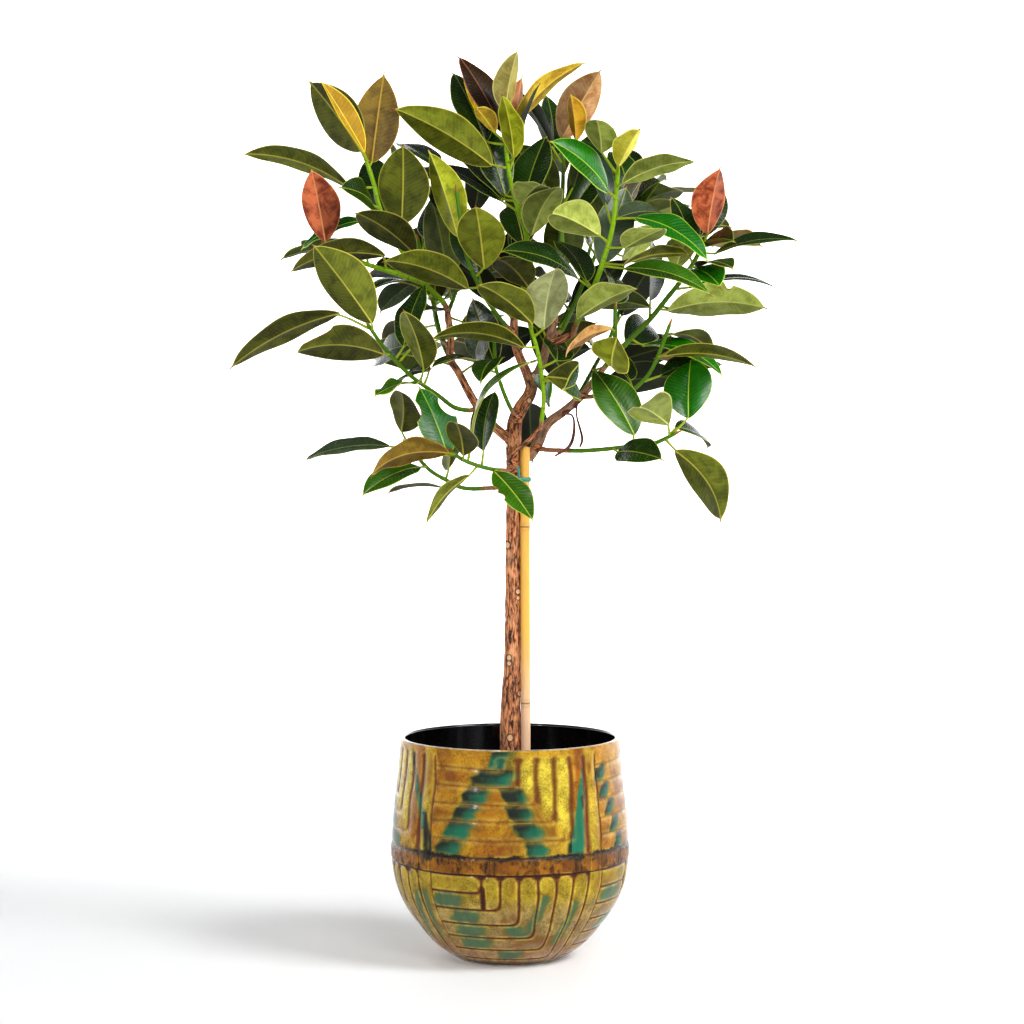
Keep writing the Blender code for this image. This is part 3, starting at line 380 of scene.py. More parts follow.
def buildStudio():
    rows, columns = studio["floorRows"], studio["floorSides"]
    floor, row, column = gridSheet("studioFloor", rows, columns)
    bend, flatEnd = studio["coveBend"], studio["floorRadius"]
    wall = studio["coveHeight"] - bend
    past = row / rows * (flatEnd + bend * math.pi / 2 + wall) - flatEnd
    turn = np.clip(past / bend, 0, math.pi / 2)
    radius = np.minimum(past, 0) + flatEnd + bend * np.sin(turn)
    height = bend * (1 - np.cos(turn)) + np.clip(past - bend * math.pi / 2, 0, None)
    angle = column / columns * math.tau
    layPoints(floor, np.stack([radius * np.cos(angle), radius * np.sin(angle), height], 1))
    closeSeams(floor)
    smoothShade(floor)
    pale = Finish("paleFloor")
    x, y, _ = pale.parts(pale.place())
    glow = ((x * x + y * y) ** 0.5).rise(studio["glowFrom"], studio["glowFull"]) * (
        studio["frontGlow"] + (studio["glow"] - studio["frontGlow"]) * y.rise(-1.0, 1.6)
    )
    glow = glow + studio["nearGlow"] + studio["backGlow"] * y.rise(0.15, 1.1)
    grain = pale.cloud(pale.place(), 3.0, 3.0)
    pale.set(colour=pale.mix(grain, *studio["floorTones"]), roughness=0.6, shine=0.15,
             glow=pale.join(glow, glow, glow), glowPower=1.0)
    pale.material.cycles.emission_sampling = "NONE"  # so wide a glow is found without aiming at it
    floor.data.materials.append(pale.material)
    floor.select_set(False)
    for name, place, aim, size, power in studio["lamps"]:
        light = bpy.data.lights.new(name, "AREA")
        light.shape = "RECTANGLE"
        light.size, light.size_y = size
        light.energy = power
        lamp = addObject(name, light)
        lamp.location = place
        lamp.visible_camera = False
        lamp.visible_diffuse = not name.startswith("glint")
        lamp.rotation_euler = (Vector(aim) - Vector(place)).to_track_quat("-Z", "Y").to_euler()
    world = bpy.data.worlds.new("studioWorld")
    world.use_nodes = True
    sky = world.node_tree.nodes["Background"].inputs
    sky["Color"].default_value = (1, 1, 1, 1)
    sky["Strength"].default_value = studio["world"]
    bpy.context.scene.world = world
    bpy.context.scene.view_settings.view_transform = "Standard"


buildCamera()
buildStudio()
print("stage: camera, floor and lights")


# Pot, whose surface has these zones, from the middle of its foot up the outside and down the inside
footZone, lowerZone, beltZone, upperZone, rimZone, insideZone = range(6)
pot = {
    # radius and height of the bars' crests, from the foot to the rim
    "outline": [(67, 0), (78, 7), (98, 22), (117, 45), (132, 67), (142, 89),
                (147.5, 112), (149.2, 140), (146, 190), (140.5, 235), (137, 276)],
    # how far in and how high the rim's points stand from the outline's end, and the inside's heights
    "lip": ((0.25, 0.7), (0.9, 1.25), (1.6, 1.4), (2.6, 1.4), (4.3, 1.2), (5.1, 0.6), (5.5, -0.6)),
    "lipOutside": 2,
    "insideHeights": (272, 262, 250, 236, 220, 200, 175, 150, 120, 95, 70, 50, 36, 26),
    "footRadii": (0, 30, 55, 65.5),
    "wall": 5.5,
    "floor": 9,
    "floorCorner": 10,
    "beltBottom": 126,
    "beltTop": 147,
    "beltRows": 12,
    "relief": 1.7,
    "waver": 0.3,
    "strokeRadius": 146,
    "panels": 4,
    "barAngle": 9,
    "upperRows": 6,
    "lowerRows": 7,
    # the tenth bar is the divider between two panels
    "barsAcross": 10,
    # where the points of one bar lie, from its groove to the next one: close together at the grooves
    "barSteps": (0, 0.04, 0.09, 0.15, 0.26, 0.5, 0.74, 0.85, 0.91, 0.96),
    "cornerRound": 0.5,
    # how flat the bars are on top, in the upper and the lower band
    "upperFlat": 2.4,
    "lowerFlat": 5.0,
    "rowDepth": 0.5,
    "uprightTop": 5.72,
    "ochre": tone(206, 148, 20),
    "amber": tone(176, 98, 6),
    "lemon": tone(238, 214, 62),
    "olive": tone(130, 126, 34),
    "belt": tone(170, 106, 5),
    "lowGold": tone(188, 160, 36),
    "lowTan": tone(180, 152, 84),
    "lowPink": tone(184, 142, 98),
    "footLine": tone(58, 28, 10),
    "footEdge": tone(214, 194, 150),
    "cream": tone(212, 184, 124),
    "black": tone(8, 7, 8),
    # the colour of the painted reflection on the black inside
    "inside": tone(46, 46, 50),
    "clay": tone(150, 96, 62),
    "pool": tone(104, 46, 2),
    "groove": tone(38, 13, 2),
    "beltTopDark": tone(20, 12, 4),
    "pale": tone(240, 218, 84),
    "teal": tone(0, 98, 72),
    "darkTeal": tone(0, 20, 18),
    "leafGreen": tone(86, 92, 16),
    "blueGreen": tone(40, 88, 70),
    "beltScratch": tone(46, 22, 2),
    "beltPaint": tone(26, 28, 12),
    "crackle": tone(70, 34, 8),
}

# Brushed patches that fill one bar: zone (1 lower, 3 upper), row from the band's top, degrees from the
# panel's middle where they start and end, and how dark they start. The odd panels take the second set.
potPatches = [
    [
        (3, 0, -10, 0, 0.4), (3, 1, -18, 5, 0.8), (3, 2, -23.5, -9, 0.9), (3, 3, -27.5, -15, 0.8),
        (3, 4, -32.5, -17, 0.4), (3, 5, -36.5, -22, 0.7), (3, 2, -3.5, 9, 1.2), (3, 3, -0.5, 12, 1.1),
        (3, 4, 3.5, 17, 0.7), (3, 5, 7.5, 19, 0.6),
        (1, 1, -40, -22, 0.1), (1, 2, -31, -14, 0.4), (1, 3, -31, -12, 0.4), (1, 4, -31, -10, 0.3),
        (1, 3, -2, 9, 0.9), (1, 5, -8, 10, 0.5),
    ],
    [
        (3, 1, -41, -33, 0.8), (3, 2, -38.5, -30.5, 0.8), (3, 3, -35.5, -27.5, 0.8),
        (3, 4, -32.5, -24.5, 0.8), (3, 5, -29, -21, 0.8), (3, 2, -4, 10, 0.6),
        (3, 3, 0, 14, 0.5), (3, 4, 6, 19, 0.8), (3, 5, 10, 24, 0.9),
        (1, 1, -38, -20, 0.3), (1, 3, -30, -12, 0.4), (1, 4, 0, 14, 0.4),
    ],
]
# Free strokes: darkness, strength at the start and the end, and points as degrees, height and half width.
potStrokes = [
    [
        (0.3, 0.26, 0.26, [(-1, 270, 10), (-1, 246, 9)]),
        (1.3, 1.4, 1.3, [(39.9, 252, 2), (39.3, 226, 3), (38.6, 204, 3)]),
        (0.0, 1.3, 1.5, [(38.8, 244, 2), (37.0, 218, 5.5), (35.2, 186, 9), (33.6, 153, 11.5)]),
        (1.2, 1.0, 1.2, [(30.5, 172, 3), (29.2, 150, 5)]),
        (0.5, 1.0, 1.2, [(11, 57, 8), (14, 76, 8), (17.5, 97, 6)]),
        (0.4, 1.0, 1.1, [(29.5, 38, 7), (32, 60, 8), (34.5, 88, 6)]),
        (0.7, 0.9, 0.9, [(8, 45, 6), (12, 58, 6)]),
    ],
    [
        (1.1, 1.0, 1.2, [(29.5, 264, 4), (35, 236, 5), (38.5, 214, 6)]),
        (0.3, 1.3, 1.4, [(36, 228, 4), (40.5, 202, 5), (43.5, 182, 6)]),
        (1.3, 1.2, 1.5, [(43.5, 196, 5), (47, 166, 7), (47.5, 148, 8)]),
        (0.5, 0.9, 1.1, [(30, 40, 7), (34, 66, 9), (38, 96, 6)]),
        (0.5, 1.0, 1.0, [(44, 100, 7), (43, 66, 7), (42, 40, 6)]),
    ],
]


def potOutline():
    # the outline in metres, each point with its distance along it from the foot
    points = smoothLine([Vector(pair) * mm for pair in pot["outline"]], 8)
    distance = 0
    outline = [(0, points[0])]
    for a, b in zip(points, points[1:]):
        distance += (b - a).length
        outline.append((distance, b))
    return outline


def outlineAt(outline, distance):
    for (s0, a), (s1, b) in zip(outline, outline[1:]):
        if distance <= s1:
            return a.lerp(b, (distance - s0) / (s1 - s0))
    return outline[-1][1]


def distanceAtHeight(outline, height):
    for (s0, a), (s1, b) in zip(outline, outline[1:]):
        if height <= b.y:
            return s0 + (s1 - s0) * (height - a.y) / (b.y - a.y)
    return outline[-1][0]


def waver(x, y, seed, count=5):
    # a slow, even unevenness between about -1 and 1
    draw = random.Random(seed)
    total = np.zeros_like(x)
    for _ in range(count):
        turn = draw.uniform(0, math.tau)
        pitch = draw.uniform(0.6, 1.6)
        total += np.sin((x * math.cos(turn) + y * math.sin(turn)) * pitch + draw.uniform(0, math.tau))
    return total / count * 1.6


def ease(values, low, high):
    share = np.clip((values - low) / (high - low), 0, 1)
    return share * share * (3 - 2 * share)


def barPlaces(count):
    return [bar + step for bar in range(count) for step in pot["barSteps"]]


def onDivider(across):
    return (across < 0) | (across > pot["barsAcross"] - 1)


def potRows(outline):
    # radius, height, zone and place in bars of each row of points
    beltBottom = distanceAtHeight(outline, pot["beltBottom"] * mm)
    beltTop = distanceAtHeight(outline, pot["beltTop"] * mm)
    top = outline[-1][0]
    rows = [(radius * mm, 0, footZone, 0) for radius in pot["footRadii"]]
    for bars in barPlaces(pot["lowerRows"]):
        point = outlineAt(outline, bars / pot["lowerRows"] * beltBottom)
        rows.append((point.x, point.y, lowerZone, bars))
    for k in range(pot["beltRows"]):
        share = k / pot["beltRows"]
        point = outlineAt(outline, beltBottom + (beltTop - beltBottom) * share)
        rows.append((point.x, point.y, beltZone, share))
    for bars in [*barPlaces(pot["upperRows"]), pot["upperRows"]]:
        point = outlineAt(outline, beltTop + bars / pot["upperRows"] * (top - beltTop))
        rows.append((point.x, point.y, upperZone, bars))
    rim = outline[-1][1]
    for inward, rise in pot["lip"]:
        zone = rimZone if inward < pot["lipOutside"] else insideZone
        rows.append((rim.x - inward * mm, rim.y + rise * mm, zone, 0))
    for height in pot["insideHeights"]:
        radius = outlineAt(outline, distanceAtHeight(outline, height * mm)).x - pot["wall"] * mm
        rows.append((radius, height * mm, insideZone, 0))
    floor = pot["floor"]
    corner = outlineAt(outline, distanceAtHeight(outline, floor * mm)).x / mm - pot["floorCorner"]
    for radius, rise in ((corner + 6, 3), (corner - 3, 0), (30, 0), (0, 0)):
        rows.append((radius * mm, (floor + rise) * mm, insideZone, 0))
    return rows


def barRelief(across, up, zone):
    # nested right angles with their corner low right: 0 in a groove, 1 along the middle of a bar
    gap = np.abs(across - up)
    soft = np.clip(pot["cornerRound"] - gap, 0, None) / pot["cornerRound"]
    inner = np.minimum(across, up) - soft ** 2 * pot["cornerRound"] / 4
    divider = onDivider(across)
    last = pot["barsAcross"] - 1
    inner = np.where(across > last, across - last, inner)
    inner = np.where(across < 0, -across, inner)
    share = np.where(divider, np.clip(inner, 0, 0.5), inner % 1)
    flat = np.where(zone == lowerZone, pot["lowerFlat"], pot["upperFlat"])
    relief = 1 - np.abs(2 * share - 1) ** flat
    # the rows of the upper band are shallower than its upright bars
    row = (zone == upperZone) & (across > up) & ~divider
    relief = np.where(row, 1 - (1 - relief) * pot["rowDepth"], relief)
    # bars end round under the belt and under the rim
    aside = np.abs(across - np.rint(across))
    lowEnd = ease(np.hypot(aside, pot["lowerRows"] - up), 0.14, 0.42)
    lowUpright = (zone == lowerZone) & (across > 0) & (across < 6.5)
    relief = np.where(lowUpright, np.minimum(relief, lowEnd), relief)
    top = pot["uprightTop"]
    highEnd = ease(np.hypot(aside, np.minimum(up - top, 0)), 0.1, 0.5)
    highEnd = highEnd + (0.88 - highEnd) * ease(up, top, top + 0.2)
    upright = (zone == upperZone) & ~row & ~divider
    relief = np.where(upright, np.where(up < top, np.minimum(relief, highEnd), highEnd), relief)
    # the innermost right angle of the lower band is parted at its corner
    parted = ease(np.abs(across - 6), 0.04, 0.28)
    return np.where((zone == lowerZone) & (up > 4.98) & (up < 6.3), np.minimum(relief, parted), relief)


def brushed(degrees, height, radius, zone, up):
    # how strongly each point is brushed with green, and how dark the green is
    strength = np.zeros_like(degrees)
    darkness = np.zeros_like(degrees)
    edge = 1.3 * waver(degrees * 0.9, height * 0.45, 31)
    for panel in range(pot["panels"]):
        away = (degrees - panel * 90 + 180) % 360 - 180
        for band, row, start, end, dark in potPatches[panel % 2]:
            rows = pot["upperRows"] if band == upperZone else pot["lowerRows"]
            within = up - (rows - 1 - row)
            lean = 3.4 * (0.5 - within) * (1 if start < -4 else -1)
            along = (away + edge - start + lean) / (end - start)
            cover = ease(along, -0.22, 0.2) * (1 - ease(along, 0.4, 1.3))
            cover = cover * (1 - 0.2 * np.abs(np.clip(2 * within - 1, -1, 1)) ** 3)
            cover = cover * (zone == band) * (np.abs(within - 0.5) < 0.5) * 1.5
            shade = 1.25 * dark * (1 - 0.9 * np.clip(along, 0, 1)) + 0.55 * ease(within, 0.5, 0.95)
            darkness = np.where(cover > strength, shade, darkness)
            strength = np.maximum(strength, cover)
        for dark, start, end, places in potStrokes[panel % 2]:
            legs = len(places) - 1
            for leg in range(legs):
                (a0, z0, w0), (a1, z1, w1) = places[leg:leg + 2]
                x = np.radians(away + 0.3 * edge - a0) * radius
                y = height - z0
                dx = math.radians(a1 - a0) * pot["strokeRadius"]
                dy = z1 - z0
                t = np.clip((x * dx + y * dy) / (dx * dx + dy * dy), 0, 1)
                miss = np.hypot(x - dx * t, y - dy * t) / (w0 + (w1 - w0) * t)
                along = (leg + t) / legs
                here = np.clip(1.35 - miss, 0, 1) * (start + (end - start) * along)
                darkness = np.where(here > strength, dark * (1 - 0.3 * along), darkness)
                strength = np.maximum(strength, here)
    return np.clip(strength, 0, 1.5), darkness


def blend(first, second, share):
    return first + (second - first) * np.asarray(share)[:, None]


def potColours(zone, degrees, height, across, up):
    away = (degrees + 45) % 90 - 45
    divider = onDivider(across)
    upright = ease(up - across, -0.2, 0.4) * ~divider
    ochre, amber, lemon = (np.array(pot[name]) for name in ("ochre", "amber", "lemon"))
    drift = waver(degrees * 0.11, height * 0.045, 3)
    block = waver(degrees * 0.35, np.floor(up) * 2.3, 21)
    colour = blend(ochre[None, :].repeat(len(zone), 0), amber, ease(drift + 0.5 * block, -0.2, 1.1) * 0.7)
    # painted light and shade: each panel's glaze is painted lighter lemon right of its middle, as if lit from
    # the right, and darker amber at its left edge, as if in shade
    colour = blend(colour, amber, ease(-away, 26, 42) * 0.35)
    colour = blend(colour, lemon, ease(away, -6, 14) * (1 - upright) * 0.35)
    top = ease(up, pot["uprightTop"] - 0.35, pot["uprightTop"] + 0.1)
    bright = upright * ease(across, 0.85, 1.15) * (1 - ease(across, 3.9, 4.15)) * (1 - 0.8 * top)
    colour = blend(colour, lemon, bright * 0.95)
    centre = ease(across, 3.95, 4.25) * (1 - ease(across, 4.9, 5.15)) * upright
    colour = blend(colour, np.array(pot["olive"]), centre * 0.9)
    colour = blend(colour, amber, (1 - ease(across, 0.7, 1.1)) * upright * 0.5)
    colour = blend(colour, lemon, divider * (0.35 + 0.3 * ease(height, 250, 180)))
    low = np.array(pot["lowTan"])[None, :].repeat(len(zone), 0)
    low = blend(low, np.array(pot["lowGold"]), ease(height, 74, 104))
    low = blend(low, np.array(pot["lowPink"]), 1 - ease(height, 14, 50))
    low = blend(low, np.array(pot["footLine"]), 1 - ease(height, 4.5, 10))
    low = blend(low, np.array(pot["footEdge"]), 1 - ease(height, 1.0, 2.6))
    colour = blend(colour, low, (zone == lowerZone).astype(float))
    for number, name in ((beltZone, "belt"), (rimZone, "cream"), (insideZone, "black"), (footZone, "clay")):
        colour[zone == number] = pot[name]
    clean = np.where(zone == upperZone, bright * 0.75, np.where(zone == lowerZone, 0.15, 0))
    return colour, clean


def potFinish():
    glaze = Finish("potGlaze")
    place = glaze.place()
    height = glaze.parts(place)[2] / mm
    relief, clean, outside = glaze.parts(glaze.stored("glazeFacts", "Vector"))
    strength, darkness, low = glaze.parts(glaze.stored("brushFacts", "Vector"))
    speckle = glaze.cloud(place, 520, 3, 0.7)
    patches = glaze.cloud(place, 62, 5, 0.62, 0.5)
    clouds = glaze.cloud(glaze.stretch(place, (1, 1, 0.7)), 24, 4, 0.6, 0.8)
    streaks = glaze.cloud(glaze.stretch(place, (1, 1, 0.16)), 260, 3, 0.6)
    # the amber glaze lies unevenly, and darker where it is thick
    mottle = patches.rise(0.34, 0.66)
    colour = glaze.tint(glaze.stored("colour", "Color"), 0.2 + 0.38 * mottle + 0.46 * speckle.rise(0.3, 0.7))
    thick = (clouds + 0.6 * (patches - 0.5) + 0.3 * (speckle - 0.5)).rise(0.46, 0.7) * (1 - 0.85 * clean)
    colour = glaze.mix(thick * 0.86 * outside, colour, pot["pool"])
    # brushed green turns the amber olive where it is thin, and covers it where it is thick
    paint = strength + 0.5 * (streaks - 0.5) + 0.5 * (patches - 0.5)
    colour = glaze.mix(paint.rise(0.12, 0.8) * 0.8 * outside, colour,
                       glaze.tint(pot["leafGreen"], 0.6 + 0.5 * mottle + 0.3 * speckle))
    dark = (darkness + 0.9 * (patches - 0.5) + 0.4 * (streaks - 0.5)).rise(0.1, 1.05)
    teal = glaze.mix(low, glaze.mix(dark, pot["teal"], pot["darkTeal"]), pot["blueGreen"])
    teal = glaze.tint(teal, 0.62 + 0.45 * streaks + 0.4 * speckle)
    covered = paint.rise(0.4, 1.08) * (0.97 - 0.3 * low)
    colour = glaze.mix(covered * outside, colour, teal)
    # pale crests beside the grooves, soft brown pools round them and a dark line in them
    unsteady = relief + 0.3 * (speckle - 0.5) + 0.5 * (patches - 0.5)
    crest = relief.rise(0.42, 0.66) * relief.rise(0.96, 0.74)
    crest = crest * (0.1 + 0.5 * mottle) * outside * (0.5 + 0.3 * low - 0.32 * covered)
    colour = glaze.mix(crest, colour, pot["pale"])
    pooled = unsteady.rise(1.06, 0.3) * outside
    colour = glaze.mix(pooled * (0.85 - 0.8 * covered), colour, pot["pool"])
    deep = unsteady.rise(0.46, 0.02) * outside
    colour = glaze.mix(deep * (0.5 + 0.4 * low), colour, pot["groove"])
    # the black inside has a painted reflection of the room: faint lighter upright bands
    gleam = glaze.cloud(glaze.stretch(place, (1, 1, 0.12)), 22, 3, 0.6).rise(0.5, 0.75)
    colour = glaze.mix(gleam * (1 - outside) * (height - 200).rise(0, 50) * 0.6, colour, pot["inside"])
    # the belt is rough, with a dark line along its top and a thin dark one under it
    belt = (height - pot["beltBottom"]).rise(-0.5, 0.5) * (height - pot["beltTop"]).rise(0.5, -0.5) * outside
    scratches = (streaks + 0.3 * (speckle - 0.5)).rise(0.44, 0.6)
    colour = glaze.mix(belt * (0.4 + 0.6 * scratches) * patches.rise(0.62, 0.4), colour, pot["beltScratch"])
    colour = glaze.mix(belt * paint.rise(0.0, 0.6) * 0.85, colour, pot["beltPaint"])
    upperLine = (height - pot["beltTop"] - 0.2 + 14 * (patches - 0.5)).size().rise(4.6, 1.2)
    colour = glaze.mix(upperLine * clouds.rise(0.3, 0.5) * outside * 0.97, colour, pot["beltTopDark"])
    lowerLine = (height - pot["beltBottom"] + 3 * (patches - 0.5)).size().rise(1.8, 0.5)
    colour = glaze.mix(lowerLine * outside * 0.85, colour, pot["groove"])
    crackle = glaze.cells(place, 240, "DISTANCE_TO_EDGE").rise(0.04, 0.0)
    colour = glaze.mix(crackle * 0.22 * outside, colour, pot["crackle"])
    glaze.set(colour=colour, roughness=0.08 + 0.08 * mottle * outside + 0.16 * belt, shine=0.12,
              coat=0.12 * outside + 0.7 * (1 - outside), coatRoughness=0.03)
    glaze.bump(speckle * 0.25 + patches * outside + belt * (scratches * 0.8 + patches), 0.0009, 0.4)
    return glaze.material


def buildPot():
    outline = potOutline()
    rows = potRows(outline)
    # columns in degrees, from one divider's middle to the next
    columns = [45 - pot["barAngle"] * (bar + 0.5) for bar in barPlaces(pot["barsAcross"])]
    angles = sorted((panel * 90 + angle) for panel in range(pot["panels"]) for angle in columns)
    piece, row, column = gridSheet("potGlazed", len(rows) - 1, len(angles))
    degrees = np.array([*angles, angles[0] + 360])[column]
    table = np.array(rows)[row]
    radius, height, zone, up = table.T
    tall = height / mm
    away = (degrees + 45) % 90 - 45
    across = (45 - away) / pot["barAngle"] - 0.5
    drift = waver(degrees * 0.16, tall * 0.16, 7)
    acrossDrawn = across + 0.06 * drift
    upDrawn = up + 0.07 * waver(degrees * 0.14, tall * 0.13, 9)
    relief = barRelief(acrossDrawn, np.where(zone == lowerZone, up, upDrawn), zone)
    relief = np.where((zone == lowerZone) | (zone == upperZone), relief, 1)
    nearRim = ease(tall, 265, 271)
    relief = np.where(zone == upperZone, relief + (0.92 - relief) * nearRim, relief)
    nearFoot = 1 - ease(tall, 0.5, 5)
    relief = np.where(zone == lowerZone, relief + (1 - relief) * nearFoot, relief)
    beltLine = np.minimum(np.abs(tall - pot["beltTop"]), np.abs(tall - pot["beltBottom"]))
    outside = ((zone > footZone) & (zone < rimZone)).astype(float)
    beltGroove = outside * (1 - ease(beltLine + drift * 0.6, 0.4, 2.6))
    divider = onDivider(across)
    relief = np.minimum(relief, 1 - np.where(divider, 0.35, 0.9) * beltGroove)
    # the dividers run on across the belt
    last = pot["barsAcross"] - 1
    onBelt = 0.35 + 0.65 * ease(np.where(across > last, across - last, -across), 0, 0.25)
    relief = np.where((zone == beltZone) & divider, np.minimum(relief, onBelt), relief)
    handmade = pot["waver"] * waver(degrees * 0.07, tall * 0.045, 12) * outside * ease(tall, 1, 12)
    rough = 0.35 * waver(degrees * 1.7, tall * 0.5, 41) * (zone == beltZone) * ~divider
    radius = radius - pot["relief"] * mm * (1 - relief) * outside + (handmade * 0.6 + rough) * mm
    turn = np.radians(degrees)
    layPoints(piece, np.stack([radius * np.sin(turn), -radius * np.cos(turn), height], 1))
    strength, darkness = brushed(degrees, tall, radius / mm, zone, up)
    colour, clean = potColours(zone, degrees, tall, across, up)
    storeColours(piece, "colour", colour)
    storeNumbers(piece, "glazeFacts", np.stack([relief, clean, outside], 1))
    storeNumbers(piece, "brushFacts", np.stack([strength, darkness, (zone == lowerZone) * 1.0], 1))
    closeSeams(piece)
    dress(piece, "pot", potFinish())


buildPot()
print("stage: pot")


# Soil, with crumbs on its top
soil = {
    "top": 214,
    "mound": 4,
    "moundRadius": 70,
    "gap": 0.4,
    "wallHeights": (9.3, 26, 70, 140, 200),
    "ringStep": 2,
    "sides": 180,
    "roughScale": 0.16,
    "roughRise": 2.6,
    "roughLimits": (-3, 3.4),
    "sunk": 1.6,
    "crumbs": 150,
    "crumbSize": (1.0, 3.2),
    "crumbSquash": (0.7, 1.3),
    "crumbFrom": 18,
    "crumbMargin": 26,
    "seed": 5,
    "earth": (tone(24, 17, 12), tone(70, 50, 35)),
    "fibre": tone(120, 88, 56),
}


def soilFinish():
    earth = Finish("crumblySoil")
    place = earth.place()
    grain = earth.cloud(place, 260, 5, 0.7)
    lumps = earth.cells(place, 190)
    fibre = earth.cloud(earth.stretch(place, (1, 0.2, 1)), 420, 2, 0.6).rise(0.62, 0.72)
    colour = earth.mix(grain.rise(0.3, 0.7), *soil["earth"])
    colour = earth.mix(fibre * 0.6, colour, soil["fibre"])
    earth.set(colour=colour, roughness=0.95, shine=0.2)
    earth.bump(grain + lumps, 0.003, 0.8)
    return earth.material


def buildSoil():
    outline = potOutline()
    heights = [*soil["wallHeights"], soil["top"]]
    wall = [(0, heights[0])]
    for height in heights:
        radius = outlineAt(outline, distanceAtHeight(outline, height * mm)).x / mm - pot["wall"] - soil["gap"]
        wall.append((radius if height > 10 else radius - pot["floorCorner"] + pot["wall"], height))
    rim = wall[-1][0]
    wall += [(rim - step, soil["top"]) for step in range(soil["ringStep"], int(rim) - 1, soil["ringStep"])]
    wall.append((0, soil["top"]))
    sides, scale = soil["sides"], soil["roughScale"]
    piece, row, column = gridSheet("soilCrumbly", len(wall) - 1, sides)
    radius, height = np.array(wall)[row].T
    turn = column / sides * math.tau
    onTop = row > len(heights)
    x = radius * np.cos(turn)
    y = radius * np.sin(turn)
    rough = np.array([
        noise.fractal(Vector((a * scale, b * scale, 0)), 0.9, 2.2, 4) if top else 0
        for a, b, top in zip(x, y, onTop)
    ])
    mound = soil["mound"] * (1 - ease(radius, soil["moundRadius"] * 0.6, rim))
    lumps = np.clip(rough * soil["roughRise"], *soil["roughLimits"])
    height = height + onTop * (mound - soil["sunk"] + lumps)
    layPoints(piece, np.stack([x, y, height], 1) * mm)
    closeSeams(piece, 0.00005)
    draw = random.Random(soil["seed"])
    bpy.ops.mesh.primitive_ico_sphere_add(subdivisions=1, radius=1)
    crumb = bpy.context.object
    crumbs = []
    for _ in range(soil["crumbs"]):
        distance = soil["crumbFrom"] + (rim - soil["crumbMargin"]) * math.sqrt(draw.random())
        turn = draw.uniform(0, math.tau)
        size = draw.uniform(*soil["crumbSize"])
        copy = addObject("crumb", crumb.data.copy())
        height = soil["top"] + soil["mound"] * (1 - min(distance / rim, 1)) * 0.9
        points = meshPoints(copy) * size
        points *= np.array([[draw.uniform(*soil["crumbSquash"]) for _ in range(3)] for _ in points])
        points += (distance * math.cos(turn), distance * math.sin(turn), height)
        layPoints(copy, points * mm)
        crumbs.append(copy)
    bpy.data.objects.remove(crumb)
    piece = joinPieces([piece, *crumbs])
    dress(piece, "soil", soilFinish())


buildSoil()
print("stage: soil")


# Cane and tie
cane = {
    "foot": (20.3, -8, 60),
    "head": (18.6, -5, 643),
    "radius": 6,
    "knots": (320, 541),
    "knotSteps": (-60, -14, -6, -3, -1.4, -0.5, 0.5, 1.4, 3, 6, 14, 60),
    "plainSteps": (120, 220, 620, 636, 642.6),
    "swell": 0.5,
    "swellReach": 3,
    "pinch": 0.55,
    "pinchReach": 0.7,
    "endBevel": 0.4,
    # the slanting cut: over what height it takes hold, and the x at which it takes nothing away
    "slant": 3.2,
    "cutBase": 630,
    "cutHeight": 13,
    "cutLeft": 12.6,
    "sides": 28,
    "straw": tone(226, 168, 62),
    "pink": tone(230, 186, 148),
    "dark": tone(120, 72, 28),
    "knotGold": tone(190, 132, 60),
}
tie = {
    "height": 600,
    "width": 5,
    "thickness": 1.3,
    "gap": 0.48,
    "trunk": (4, 0, 8.8),
    "end": [(11, -11.8, 600), (11, -12.1, 608), (9.8, -12.6, 617)],
    "endWidth": 1.5,
    "endSteps": 6,
    "endSides": 12,
    "innerBevel": 0.3,
    "outerBevel": 0.4,
    "crown": 0.15,
    "sides": 72,
    "greens": (tone(10, 120, 104), tone(46, 158, 138)),
}


def canePoint(height):
    foot, head = Vector(cane["foot"]), Vector(cane["head"])
    return foot.lerp(head, (height - foot.z) / (head.z - foot.z)) * mm


def caneFinish():
    straw = Finish("strawCane")
    place = straw.place()
    height = straw.parts(place)[2]
    streaks = straw.cloud(straw.stretch(place, (1, 1, 0.03)), 900, 3, 0.6)
    blotch = straw.cloud(straw.stretch(place, (1, 1, 0.3)), 90, 3, 0.6)
    colour = straw.mix(height.rise(0.42, 0.28), cane["straw"], cane["pink"])
    colour = straw.tint(colour, 0.72 + 0.3 * streaks + 0.2 * blotch)
    for knot in cane["knots"]:
        near = (height - knot * mm).size()
        colour = straw.mix(near.rise(0.0016, 0.0005) * 0.8, colour, cane["dark"])
        colour = straw.mix((near - 0.004).size().rise(0.0035, 0.0) * 0.35, colour, cane["knotGold"])
    straw.set(colour=colour, roughness=0.38 + 0.15 * blotch)
    straw.bump(streaks, 0.0004, 0.5)
    return straw.material


def buildCane():
    foot, head = cane["foot"][2], cane["head"][2]
    heights = [foot, *cane["plainSteps"], head]
    for knot in cane["knots"]:
        heights += [knot + step for step in cane["knotSteps"]]
    heights.sort()

    def radiusAt(height):
        near = min(abs(height - knot) for knot in cane["knots"])
        swell = cane["swell"] * math.exp(-(near / cane["swellReach"]) ** 2)
        pinch = cane["pinch"] * math.exp(-(near / cane["pinchReach"]) ** 2)
        end = cane["endBevel"] if height >= head else 0
        return (cane["radius"] + swell - pinch - end) * mm

    piece = rod("caneStraw", [canePoint(height) for height in heights],
                [radiusAt(height) for height in heights], cane["sides"])
    points = meshPoints(piece)
    # the top is cut on a slant, lower at the right
    lift = np.clip((points[:, 2] / mm - cane["cutBase"]) / cane["cutHeight"], 0, 1)
    right = (points[:, 0] / mm - cane["cutLeft"]) / (2 * cane["radius"])
    points[:, 2] -= lift * right * cane["slant"] * mm
    layPoints(piece, points)
    dress(piece, "cane", caneFinish())


